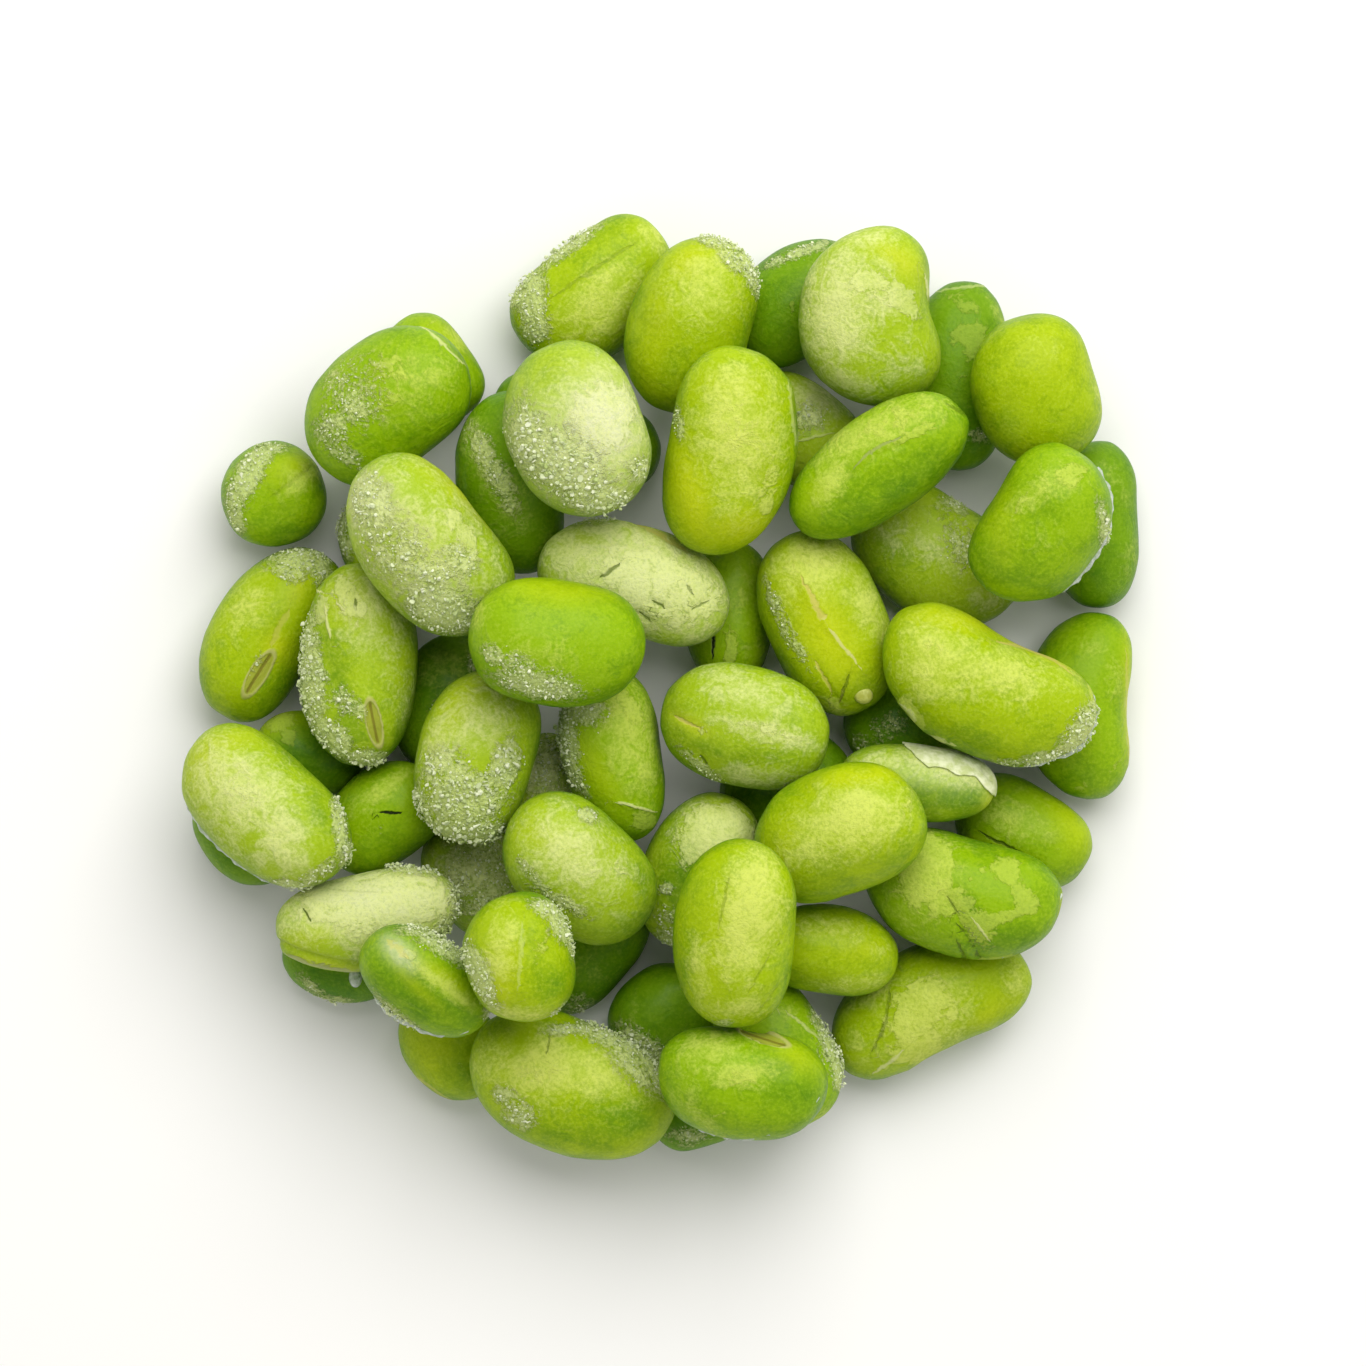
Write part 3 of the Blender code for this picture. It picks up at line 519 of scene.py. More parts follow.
MARKS["upper_bean_25"] = [
    frost(0.56, 0.7, 6, 2, -4, 0.5), haze(0.56, 0.66, 8.1, 3.5, -4, 1.1),
    film(0.57, 0.7, 7.4, 2.7, -3, 0.9), crease(0.3, 0.13, 4.6, 0.21, -13, 1, -0.3, 0.5),
    lip(0.29, 0.05, 4.6, 0.27, -13, 0.5, 0.2, 0.5), rime(1, 0.65, 2.5, 0.6, -80),
    rime(0.74, 0.99, 3.9, 0.45, -4, 0.9), rime(0.93, 0.44, 1.2, 0.7, 30, 0.9),
    crease(0.18, 0.55, 0.7, 0.14, -55, 0.9, -0.14), sun(0.21, 0.35, 2.7, 0.9, 10, 0.4),
    sun(0.3, 0.06, 4.4, 0.35, -12, 0.7), crease(0.41, 0.8, 2.7, 0.12, -4, 0.15, -0.05),
]
MARKS["upper_bean_26"] = [
    rime(0.71, 0.83, 3.7, 1, -26), rime(0.3, 0.1, 3.4, 0.5, -42, 0.8), sun(0.45, 0.45, 3, 0.6, -45, 0.5),
    rime(0.98, 0.51, 2.8, 0.8, -68), rime(0.5, 0.96, 1.9, 0.55, 0, 0.9),
    frost(0.3, 0.78, 1.5, 0.8, -42, 0.75), film(0.39, 0.75, 0.55, 0.45, -40),
    # The haze along the ridge is a painted highlight.
    seam(0.3, 0.8, 1.3, 0.5, -42, 0.5), haze(0.62, 0.5, 2.6, 0.6, -38, 1),
    deep(0.45, 0.4, 5.3, 2.2, -38, 0.9), sun(0.65, 0.55, 2.7, 0.7, -38, 0.7),
    deep(0.42, 0.55, 3.5, 0.7, -50, 0.4), rime(1, 0.29, 1.2, 0.55, 80, 0.9),
    deep(0.81, 0.15, 2.1, 0.8, -10, 0.6),
]
MARKS["upper_bean_27"] = [
    haze(0.33, 0.6, 3.9, 1.4, 85, 0.7), film(0.73, 0.6, 2.5, 1.2, 80, 0.35),
    lip(0.53, 0.52, 3, 0.27, 86, 0.25, 0.14), rime(0.88, 0.78, 1.9, 1.15, -60),
    rime(0.75, 0.88, 1.4, 0.7, -20, 0.8), rime(1, 0.6, 1.2, 0.45, -80, 0.8),
    deep(0.79, 0.36, 1.9, 1.6, 80, 0.5), haze(0.55, 0.08, 3.5, 0.8, 0, 0.65),
    rime(0.86, 0.09, 1.2, 0.7, 30, 0.5), sun(0.37, 0.36, 2.7, 1.2, 80, 0.6), rime(0.14, 0.4, 3, 0.9, -64),
]
MARKS["upper_bean_28"] = [
    haze(0.42, 0.62, 6.4, 2.5, -8, 0.85), film(0.34, 0.6, 2.7, 1.2, 0, 0.4),
    rime(0.72, 0.82, 3.7, 1.1, -12), rime(0.9, 0.63, 2.5, 1.1, -62), rime(0.49, 0.87, 2.1, 0.45, 4, 0.8),
    rime(0.24, 0.32, 1.4, 1.2, 0, 0.75), rime(0.17, 0.43, 1.1, 0.9, 0, 0.6),
    rime(0.8, 0.62, 2.7, 1.4, -40, 0.5), deep(0.72, 0.28, 4.4, 2.2, -14, 0.8),
    deep(0.58, 0.14, 5.3, 0.9, -14, 0.5), sun(0.87, 0.14, 3.2, 1.2, 20, 0.2),
    crease(0.38, 0.78, 0.9, 0.14, 80, 0.5, -0.08),
]
MARKS["upper_bean_29"] = [
    haze(0.31, 0.78, 2.8, 1.8, 10, 0.7), haze(0.49, 0.59, 2.3, 1.1, 0, 0.9),
    film(0.49, 0.57, 1.8, 0.9, 0, 0.5), scar(0.61, 0.91, 2.4, 0.55, -17),
    sun(0.83, 0.75, 2.1, 1.1, -30, 0.6), deep(0.78, 0.45, 3.5, 2.8, 0, 0.65),
    haze(0.25, 0.21, 2.7, 0.55, -42, 0.6), film(0.35, 0.26, 0.9, 0.16, 20, 0.7),
    haze(0.18, 0.49, 2.7, 0.9, 80, 0.3),
]
print("beans marked:", len(MARKS))

# %% [markdown]
# ## The round skin
#
# A bean's solid is a coarse cage of flat faces. Subdivision rounds it, but it also shrinks it, so the cage is
# first moved out until the round skin passes through the solid's own corners. The upper beans are seen whole
# and get one level more than the lower ones.

# %% Small helpers for meshes
UPPER_LEVELS = 3
LOWER_LEVELS = 2
WELD = 0.005 * MM
ROUNDING_PASSES = 3
ROUNDING_STEP = 0.8


def alone(piece):
    """Selects one object only and makes it the active one."""
    bpy.ops.object.select_all(action="DESELECT")
    piece.select_set(True)
    bpy.context.view_layer.objects.active = piece


@contextmanager
def editing():
    """Edit mode with everything selected, left again afterwards."""
    bpy.ops.object.mode_set(mode="EDIT")
    bpy.ops.mesh.select_all(action="SELECT")
    yield
    bpy.ops.object.mode_set(mode="OBJECT")


def new_object(name, data):
    """An object in the scene with this mesh or curve."""
    thing = bpy.data.objects.new(name, data)
    bpy.context.scene.collection.objects.link(thing)
    return thing


def read_points(mesh, what="co"):
    """A mesh's points, or their normals, as rows of numbers."""
    values = np.empty(len(mesh.vertices) * 3, np.float32)
    mesh.vertices.foreach_get(what, values)
    return values.reshape(-1, 3).astype(float)


def write_points(mesh, points):
    """Moves a mesh's points."""
    mesh.vertices.foreach_set("co", points.astype(np.float32).ravel())
    mesh.update()


# %% From cage to skin
def join_cage(node):
    """A copy of a bean's solid with its loose triangles joined into quads."""
    skin = new_object(f"{node}_skin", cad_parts[node].data.copy())
    skin.data.materials.clear()
    alone(skin)
    bpy.ops.mesh.customdata_custom_splitnormals_clear()
    with editing():
        bpy.ops.mesh.remove_doubles(threshold=WELD)
        bpy.ops.mesh.tris_convert_to_quads(face_threshold=1.0, shape_threshold=1.0)
    return skin


def round_off(skin, levels):
    """Subdivides the cage, moved out so that the skin keeps the solid's size."""
    corners = read_points(skin.data)
    rounding = skin.modifiers.new("rounding", "SUBSURF")
    rounding.levels = rounding.render_levels = 1
    for _ in range(ROUNDING_PASSES):
        graph = bpy.context.evaluated_depsgraph_get()
        rounded = read_points(skin.evaluated_get(graph).data)[: len(corners)]
        write_points(skin.data, read_points(skin.data) + ROUNDING_STEP * (corners - rounded))
    rounding.levels = rounding.render_levels = levels
    bpy.ops.object.modifier_apply(modifier="rounding")
    bpy.ops.object.shade_smooth()


skins = {}
for node in sorted(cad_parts):
    skins[node] = join_cage(node)
    round_off(skins[node], UPPER_LEVELS if node.startswith("upper") else LOWER_LEVELS)
print(len(skins), "skins with", sum(len(skin.data.polygons) for skin in skins.values()), "faces")

# %% [markdown]
# ## Painting the marks on the skins
#
# Each mark becomes numbers on the skin's points. They are kept in named attributes, which the materials read
# later: one for each kind of spot or line, and for scars and lines the place within them as well, because a
# place can be drawn as sharply as wanted, however coarse the mesh is.


# %% Where a mark lies on a skin
# A normal that points up more than the first number is on a bean's upper side. A mark reaches down a flank by
# a share of its own size and a least reach in millimetres. The finest line's half width is in millimetres.
UPPER_SIDE = 0.08
SPOT_REACH = 0.8
SPOT_LEAST_REACH = 1.0
LINE_REACH = 0.6
LINE_LEAST_REACH = 0.8
FINEST_LINE = 0.22


def middle_of(mark, node, points, normals):
    """The point on the upper side of a bean that a mark names."""
    low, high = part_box(node)
    place = np.array((low.x + mark.east * (high.x - low.x), low.y + mark.north * (high.y - low.y)))
    upper = np.flatnonzero(normals[:, 2] > UPPER_SIDE)
    away = ((points[upper, :2] - place) ** 2).sum(axis=1)
    return points[upper[np.argmin(away)]]


def spread_of(mark, node, points, normals):
    """How far each point is along the mark, across it and below or above its middle, in millimetres."""
    offset = (points - middle_of(mark, node, points, normals)) / MM
    turn = math.radians(mark.turn)
    along = offset[:, 0] * math.cos(turn) + offset[:, 1] * math.sin(turn)
    across = offset[:, 1] * math.cos(turn) - offset[:, 0] * math.sin(turn)
    across = across - mark.bow * (along / mark.long) ** 2
    return along, across, offset[:, 2]


def oval(mark, spread):
    """Distance from a spot's middle, 1 at its edge. It reaches further down a bean's flank than sideways."""
    along, across, height = spread
    tall = SPOT_REACH * max(mark.long, mark.wide) + SPOT_LEAST_REACH
    return np.sqrt((along / mark.long) ** 2 + (across / mark.wide) ** 2 + (height / tall) ** 2)


def stroke(mark, spread):
    """Distance from a line's middle in half widths, no thinner than the mesh can show."""
    along, across, height = spread
    past = np.maximum(np.abs(along) - mark.long, 0)
    beyond = np.maximum(np.abs(height) - LINE_REACH * mark.long - LINE_LEAST_REACH, 0)
    return np.sqrt(past**2 + across**2 + beyond**2) / max(mark.wide, FINEST_LINE)


# %% Paint and sculpt one skin
SOFT = ("haze", "frost", "sun", "deep")
SHARP = ("film", "rime")
LINES = ("seam", "crease", "lip", "slit")
PLACES = ("scar", "line")
OUTSIDE = 9.0
# Painted shade: a bean's flanks and underside start darker, the more so the further their normals turn from
# up.
FLANK_SHADE = 0.90
FLANK_SHADE_POWER = 1.5
LUMP_SIZE = 4.6
LUMP_HEIGHT = 0.20
FINE_LUMP_SIZE = 1.7
FINE_LUMP_HEIGHT = 0.05
SCAR_REACH = 3.0
SCAR_RIM = 0.15
SCAR_RIM_WIDTH = 0.2
SCAR_BED = -0.16
SCAR_BED_END = 0.9
SCAR_RIDGE = 0.12
SCAR_RIDGE_WIDTH = 0.16
SCAR_RIDGE_END = 0.85
LINE_EDGE = 4
SHARP_FALL = 4
SOFT_FALL = 0.7
DEEP_LESSENING = 0.5


def lumps_of(points, seed):
    """Gentle uneven swellings of the skin, in millimetres."""
    shift = Vector((seed * 1.7, seed * -2.3, seed * 0.9))
    places = [Vector(point) / MM for point in points]
    broad = np.array([noise.noise(place / LUMP_SIZE + shift) for place in places])
    fine = np.array([noise.noise(place / FINE_LUMP_SIZE - shift) for place in places])
    return LUMP_HEIGHT * broad + FINE_LUMP_HEIGHT * fine


def paint(mark, node, points, normals, painted):
    """Adds one mark to the painted values and returns how far it lifts each point, in millimetres."""
    spread = spread_of(mark, node, points, normals)
    if mark.kind == "scar":
        along, across, height = spread
        near = np.abs(height) < SCAR_REACH
        place = np.column_stack((along / mark.long, across / mark.wide, 0 * along))
        painted["scar"][near] = place[near]
        ring = np.hypot(along / mark.long, across / mark.wide)
        rim = SCAR_RIM * np.exp(-(((ring - 1.0) / SCAR_RIM_WIDTH) ** 2))
        ridge = SCAR_RIDGE * np.exp(-((across / SCAR_RIDGE_WIDTH) ** 2)) * (ring < SCAR_RIDGE_END)
        bed = SCAR_BED * (ring < SCAR_BED_END) + ridge
        return np.where(near, rim + bed, 0)
    if mark.kind in LINES:
        away = stroke(mark, spread)
        near = away < LINE_EDGE
        place = np.column_stack((spread[0] / mark.long, spread[1] / mark.wide, 0 * away))
        painted["line"][near] = place[near]
        painted[mark.kind][near] = mark.amount
        return mark.lift * np.exp(-(away**2))
    if mark.kind in SHARP:
        shape = 1 / (1 + oval(mark, spread) ** SHARP_FALL)
    else:
        shape = np.exp(-SOFT_FALL * oval(mark, spread) ** 2)
    if mark.kind != "dent":
        painted[mark.kind] = np.maximum(painted[mark.kind], mark.amount * shape)
    # Haze, frost and sun lessen the deep value below them, painted shade included.
    if mark.kind in ("haze", "frost", "sun"):
        painted["deep"] *= 1 - DEEP_LESSENING * np.minimum(mark.amount * shape, 1)
    return mark.lift * shape


def dress(node, seed):
    """Paints and sculpts one bean's skin."""
    mesh = skins[node].data
    points, normals = read_points(mesh), read_points(mesh, "normal")
    painted = {kind: np.zeros(len(points)) for kind in SOFT + SHARP + LINES}
    # Painted shade on the flanks and underside, by how far each normal turns from up.
    painted["deep"] = FLANK_SHADE * np.clip(1 - normals[:, 2], 0, 1) ** FLANK_SHADE_POWER
    for place in PLACES:
        painted[place] = np.full((len(points), 3), OUTSIDE)
    lift = lumps_of(points, seed)
    for mark in MARKS.get(node, []):
        lift += paint(mark, node, points, normals, painted)
    points = points + normals * lift[:, None] * MM
    points[:, 2] = np.maximum(points[:, 2], 0)
    write_points(mesh, points)
    for kind, values in painted.items():
        if kind in PLACES:
            mesh.attributes.new(kind, "FLOAT_VECTOR", "POINT").data.foreach_set("vector", values.ravel())
        else:
            mesh.attributes.new(kind, "FLOAT", "POINT").data.foreach_set("value", values)


for seed, node in enumerate(skins):
    dress(node, seed)
print("marks painted:", sum(len(marks) for marks in MARKS.values()))

# %% [markdown]
# ## Shader groups
#
# All the skins share the same effects, so each effect is a node group, built once. The first one makes the
# uneven tones: a broad one of three millimetres, a wispy one of two, a fine one of a third of a millimetre,
# and grains for rime. The second one lays haze, film and rime over them.


# %% Helpers for node trees
def new_group(name, inputs, outputs):
    """An empty shader group with named sockets."""
    group = bpy.data.node_groups.new(name, "ShaderNodeTree")
    for socket, kind in inputs.items():
        group.interface.new_socket(socket, in_out="INPUT", socket_type=f"NodeSocket{kind}")
    for socket, kind in outputs.items():
        group.interface.new_socket(socket, in_out="OUTPUT", socket_type=f"NodeSocket{kind}")
    return group, group.nodes.new("NodeGroupInput"), group.nodes.new("NodeGroupOutput")


def feed(tree, socket, value):
    """Joins a socket to another one, or sets it."""
    if isinstance(value, bpy.types.NodeSocket):
        tree.links.new(value, socket)
    else:
        socket.default_value = value


def calculate(tree, operation, first, second=0.0, clamp=False):
    """The result of one sum."""
    node = tree.nodes.new("ShaderNodeMath")
    node.operation = operation
    node.use_clamp = clamp
    feed(tree, node.inputs[0], first)
    feed(tree, node.inputs[1], second)
    return node.outputs[0]


def ramp_between(tree, value, start, end):
    """0 below start, 1 above end, smooth in between."""
    node = tree.nodes.new("ShaderNodeMapRange")
    node.interpolation_type = "SMOOTHSTEP"
    feed(tree, node.inputs["Value"], value)
    feed(tree, node.inputs["From Min"], start)
    feed(tree, node.inputs["From Max"], end)
    return node.outputs["Result"]


def blend(tree, share, below, above):
    """A colour between two."""
    node = tree.nodes.new("ShaderNodeMix")
    node.data_type = "RGBA"
    feed(tree, node.inputs["Factor"], share)
    feed(tree, node.inputs["A"], below)
    feed(tree, node.inputs["B"], above)
    return node.outputs["Result"]


def painted_value(tree, name):
    """What is painted on the skin under this name."""
    node = tree.nodes.new("ShaderNodeAttribute")
    node.attribute_name = name
    return node.outputs["Vector"] if name in PLACES else node.outputs["Fac"]


# %% Uneven tones
def noise_of(tree, place, size_mm, detail, roughness=0.5, distortion=0.0):
    """Clouds of this size."""
    node = tree.nodes.new("ShaderNodeTexNoise")
    tree.links.new(place, node.inputs["Vector"])
    set_inputs(node, {"Scale": 1 / (size_mm * MM), "Detail": detail})
    set_inputs(node, {"Roughness": roughness, "Distortion": distortion})
    return node.outputs["Fac"]


TONES = ("Broad", "Wisp", "Fine")
TONE_START = 0.3
TONE_END = 0.7
GRAIN_SIZE = 0.42 * MM

tones, _, tones_out = new_group("uneven_tones", {}, {key: "Float" for key in (*TONES, "Grain")})
place = tones.nodes.new("ShaderNodeTexCoord").outputs["Object"]
clouds = (
    noise_of(tones, place, 3.2, 3),
    noise_of(tones, place, 1.9, 5, 0.58, 1.6),
    noise_of(tones, place, 0.30, 3, 0.65),
)
for tone, cloud in zip(TONES, clouds):
    feed(tones, tones_out.inputs[tone], ramp_between(tones, cloud, TONE_START, TONE_END))
cells = tones.nodes.new("ShaderNodeTexVoronoi")
set_inputs(cells, {"Scale": 1 / GRAIN_SIZE})
tones.links.new(place, cells.inputs["Vector"])
feed(tones, tones_out.inputs["Grain"], calculate(tones, "SUBTRACT", 1.0, cells.outputs["Distance"], True))
print("group", tones.name)

# %% Haze, film and rime over the skin
# Each output: what is painted, how far the three tones break its edge up, and where the edge starts and ends.
COVERS = {
    "Pale": ("haze", (0.27, 0.47, 0.19), 0.08, 1.05),
    "Film": ("film", (0.18, 0.42, 0.16), 0.42, 0.60),
    "Rime": ("rime", (0.20, 0.40, 0.50), 0.16, 0.66),
}
PAINTED = 0.22

cover, cover_in, cover_out = new_group(
    "frost_cover", {tone: "Float" for tone in TONES}, {output: "Float" for output in COVERS}
)
swings = [calculate(cover, "SUBTRACT", cover_in.outputs[tone], 0.5) for tone in TONES]


def roughened(name, amounts):
    """A painted value, its edge broken up by the uneven tones, left alone where nothing is painted."""
    value = painted_value(cover, name)
    present = ramp_between(cover, value, 0.0, PAINTED)
    for swing, amount in zip(swings, amounts):
        swung = calculate(cover, "MULTIPLY", swing, amount)
        value = calculate(cover, "ADD", value, calculate(cover, "MULTIPLY", swung, present))
    return value


for output, (name, amounts, start, end) in COVERS.items():
    feed(cover, cover_out.inputs[output], ramp_between(cover, roughened(name, amounts), start, end))
print("group", cover.name)

# %% [markdown]
# A scar is an oval with a pale raised rim, an olive bed and a dark groove along its middle. Its painted place
# runs from -1 to 1 along and across the oval, so the distance from the middle is the oval itself.

# %% The scar's rings
BED_EDGE = (0.78, 0.92)
RIM_EDGE = (0.98, 1.16)
GROOVE_EDGE = (0.06, 0.26)

rings, _, rings_out = new_group("scar_rings", {}, {"Rim": "Float", "Bed": "Float", "Line": "Float"})
spot = painted_value(rings, "scar")
length = rings.nodes.new("ShaderNodeVectorMath")
length.operation = "LENGTH"
rings.links.new(spot, length.inputs[0])
away = length.outputs["Value"]
across = rings.nodes.new("ShaderNodeSeparateXYZ")
rings.links.new(spot, across.inputs[0])
bed = calculate(rings, "SUBTRACT", 1.0, ramp_between(rings, away, *BED_EDGE))
outer = calculate(rings, "SUBTRACT", 1.0, ramp_between(rings, away, *RIM_EDGE))
feed(rings, rings_out.inputs["Bed"], bed)
feed(rings, rings_out.inputs["Rim"], calculate(rings, "SUBTRACT", outer, bed, True))
groove = ramp_between(rings, calculate(rings, "ABSOLUTE", across.outputs["Y"]), *GROOVE_EDGE)
groove = calculate(rings, "SUBTRACT", 1.0, groove)
feed(rings, rings_out.inputs["Line"], calculate(rings, "MULTIPLY", groove, bed))
print("group", rings.name)

# %% [markdown]
# A line's painted place runs from -1 to 1 along and across it too. The line narrows towards its ends and
# wavers a little.

# %% Wavering lines
LINE_SIDE = (0.30, 1.00)
LEAST_TAPER = 0.0004

thread, thread_in, thread_out = new_group("wavering_line", {"Wisp": "Float"}, {"Line": "Float"})
where = thread.nodes.new("ShaderNodeSeparateXYZ")
thread.links.new(painted_value(thread, "line"), where.inputs[0])
waver = calculate(thread, "SUBTRACT", thread_in.outputs["Wisp"], 0.5)
sideways = calculate(thread, "ABSOLUTE", calculate(thread, "ADD", where.outputs["Y"], waver))
taper = calculate(thread, "POWER", calculate(thread, "ABSOLUTE", where.outputs["X"]), 2.0)
taper = calculate(thread, "SUBTRACT", 1.0, taper)
taper = calculate(thread, "SQRT", calculate(thread, "MAXIMUM", taper, LEAST_TAPER))
drawn_line = ramp_between(thread, calculate(thread, "DIVIDE", sideways, taper), *LINE_SIDE)
feed(thread, thread_out.inputs["Line"], calculate(thread, "SUBTRACT", 1.0, drawn_line, clamp=True))
print("group", thread.name)

# %% [markdown]
# ## The skin's pattern
#
# This group puts all of it together: colour, roughness, how wet the skin is, and the height of its fine
# relief. The colours and the dullness are inputs, so that each shade of bean has its own.

# %% Pattern group: colours
pattern, pattern_in, pattern_out = new_group(
    "skin_pattern",
    {"Skin": "Color", "Deep": "Color", "Sun": "Color", "Haze": "Color", "Dullness": "Float"},
    {"Color": "Color", "Roughness": "Float", "Wet": "Float", "Height": "Float"},
)
FROST_COLOUR = (0.70, 0.71, 0.44, 1)
RIME_COLOUR = (0.60, 0.67, 0.27, 1)
LIP_COLOUR = (0.64, 0.68, 0.26, 1)
SEAM_COLOUR = (0.56, 0.53, 0.10, 1)
# A crease is drawn dark green: painted shade in the fold.
CREASE_SHADE_COLOUR = (0.100, 0.160, 0.006, 1)
RIM_COLOUR = (0.46, 0.47, 0.13, 1)
BED_COLOUR = (0.36, 0.40, 0.04, 1)
SCAR_LINE_COLOUR = (0.22, 0.21, 0.02, 1)
# A slit is drawn nearly black: painted shade in the split.
SLIT_SHADE_COLOUR = (0.012, 0.022, 0.002, 1)


def placed(group, tree):
    """One use of a group in a tree."""
    node = tree.nodes.new("ShaderNodeGroup")
    node.node_tree = group
    return node


plus, minus, times = (partial(calculate, pattern, kind) for kind in ("ADD", "SUBTRACT", "MULTIPLY"))
uneven = placed(tones, pattern).outputs
cover_node = placed(cover, pattern)
thread_node = placed(thread, pattern)
for tone in TONES:
    pattern.links.new(uneven[tone], cover_node.inputs[tone])
pattern.links.new(uneven["Wisp"], thread_node.inputs["Wisp"])
covered = cover_node.outputs
scarred = placed(rings, pattern).outputs
drawn = {kind: times(painted_value(pattern, kind), thread_node.outputs["Line"], clamp=True) for kind in LINES}
print("groups joined:", len(pattern.nodes), "nodes")

# %% Pattern group: layers of colour
BROAD_SWING = 0.42
WISP_SWING = 0.34
FINE_SWING = 0.22
SPECK_START = 0.60
STAIN_START = 0.46
STAIN_AMOUNT = 0.40

tint = pattern_in.outputs
darker = times(minus(uneven["Broad"], 0.5), BROAD_SWING)
wispy = times(minus(uneven["Wisp"], 0.5), WISP_SWING)
grainy = times(minus(0.5, uneven["Fine"]), FINE_SWING)
# The painted deep value, darker skin and painted shade together, is added to the uneven tones.
darker = plus(painted_value(pattern, "deep"), plus(darker, plus(grainy, wispy)), clamp=True)
frosted = plus(times(uneven["Wisp"], 0.5), 0.6)
speck = times(minus(uneven["Fine"], SPECK_START, True), plus(covered["Pale"], 0.30))
stain = times(minus(STAIN_START, uneven["Fine"], clamp=True), STAIN_AMOUNT)
colour = blend(pattern, darker, tint["Skin"], tint["Deep"])
for share, layer in (
    # Sun: yellower skin and painted highlights on lit upper sides and ridges.
    (painted_value(pattern, "sun"), tint["Sun"]),
    (times(covered["Pale"], 0.90), tint["Haze"]),
    (times(covered["Film"], 0.50), tint["Haze"]),
    (times(painted_value(pattern, "frost"), frosted, True), FROST_COLOUR),
    (speck, tint["Haze"]),
    (stain, tint["Deep"]),
    (drawn["seam"], SEAM_COLOUR),
    # Creases: painted shade.
    (drawn["crease"], CREASE_SHADE_COLOUR),
    (drawn["lip"], LIP_COLOUR),
    (scarred["Rim"], RIM_COLOUR),
    (scarred["Bed"], BED_COLOUR),
    (scarred["Line"], SCAR_LINE_COLOUR),
    (times(covered["Rime"], 0.70), RIME_COLOUR),
    # Slits: painted shade.
    (drawn["slit"], SLIT_SHADE_COLOUR),
):
    colour = blend(pattern, share, colour, layer)
feed(pattern, pattern_out.inputs["Color"], colour)
print("colours joined:", len(pattern.nodes), "nodes")

# %% Pattern group: gloss and relief
SMOOTH = 0.40
FINE_ROUGHNESS = 0.06
DRY_RELIEF = 0.030
WET_RELIEF = 0.008
WISP_RELIEF = 0.038

dry = calculate(pattern, "MAXIMUM", covered["Pale"], covered["Film"])
dry = calculate(pattern, "MAXIMUM", dry, covered["Rime"])
rough = plus(times(dry, pattern_in.outputs["Dullness"]), times(uneven["Fine"], FINE_ROUGHNESS))
feed(pattern, pattern_out.inputs["Roughness"], plus(rough, SMOOTH))
feed(pattern, pattern_out.inputs["Wet"], minus(1.0, dry, clamp=True))

relief = times(uneven["Fine"], plus(times(dry, DRY_RELIEF), WET_RELIEF))
relief = plus(relief, times(uneven["Wisp"], WISP_RELIEF))
for shape, tall in (
    (covered["Film"], 0.035),
    (times(uneven["Grain"], covered["Rime"]), 0.20),
    (drawn["lip"], 0.10),
    (drawn["seam"], -0.06),
    (drawn["crease"], -0.14),
    (drawn["slit"], -0.20),
    (scarred["Rim"], 0.06),
    (scarred["Line"], -0.06),
):
    relief = plus(relief, times(shape, tall))
feed(pattern, pattern_out.inputs["Height"], relief)
print("pattern group has", len(pattern.nodes), "nodes")

# %% [markdown]
# ## Four shades of skin
#
# The beans fall into four shades. Light goes a little way into a bean, so each skin scatters it under the
# surface, and the wet parts have a thin coat of melted frost.

# %% Skin materials
# The Deep tint is also the colour of painted shade on flanks and lower sides, and the Sun tint that of
# painted highlights on lit upper sides.
TINTS = ("Skin", "Deep", "Sun", "Haze")
SHADES = {
    "fresh": ((0.260, 0.430, 0.001), (0.080, 0.215, 0.001), (0.440, 0.550, 0.003), (0.530, 0.630, 0.090)),
    "yellow": ((0.345, 0.480, 0.001), (0.110, 0.250, 0.001), (0.490, 0.570, 0.004), (0.620, 0.690, 0.130)),
    "pale": ((0.350, 0.490, 0.010), (0.110, 0.245, 0.002), (0.480, 0.560, 0.016), (0.660, 0.710, 0.250)),
    "deep": ((0.165, 0.320, 0.001), (0.065, 0.190, 0.001), (0.330, 0.450, 0.003), (0.400, 0.510, 0.070)),
}
DULLNESS = {"fresh": 0.24, "yellow": 0.24, "pale": 0.26, "deep": 0.24}
COAT = 0.12
SCATTER_DEPTH = 1.2 * MM


def add_relief(tree, shader, height, depth):
    """Fine relief on a shader, of this depth in metres."""
    bump = tree.nodes.new("ShaderNodeBump")
    bump.inputs["Distance"].default_value = depth
    tree.links.new(height, bump.inputs["Height"])
    tree.links.new(bump.outputs["Normal"], shader.inputs["Normal"])


def skin_material(shade):
    """The material of one shade of bean."""
    material, tree, shader = new_material(f"bean_skin_{shade}")
    skin = placed(pattern, tree)
    set_inputs(skin, {tint: (*colour, 1) for tint, colour in zip(TINTS, SHADES[shade])})
    set_inputs(skin, {"Dullness": DULLNESS[shade]})
    tree.links.new(skin.outputs["Color"], shader.inputs["Base Color"])
    tree.links.new(skin.outputs["Roughness"], shader.inputs["Roughness"])
    tree.links.new(calculate(tree, "MULTIPLY", skin.outputs["Wet"], COAT), shader.inputs["Coat Weight"])
    add_relief(tree, shader, skin.outputs["Height"], MM)
    set_inputs(shader, {"IOR": 1.42, "Specular IOR Level": 0.13})
    set_inputs(shader, {"Coat Roughness": 0.16, "Coat IOR": 1.33})
    set_inputs(shader, {"Subsurface Weight": 0.25, "Subsurface Scale": SCATTER_DEPTH})
    set_inputs(shader, {"Subsurface Radius": (1.0, 1.0, 0.25)})
    return material


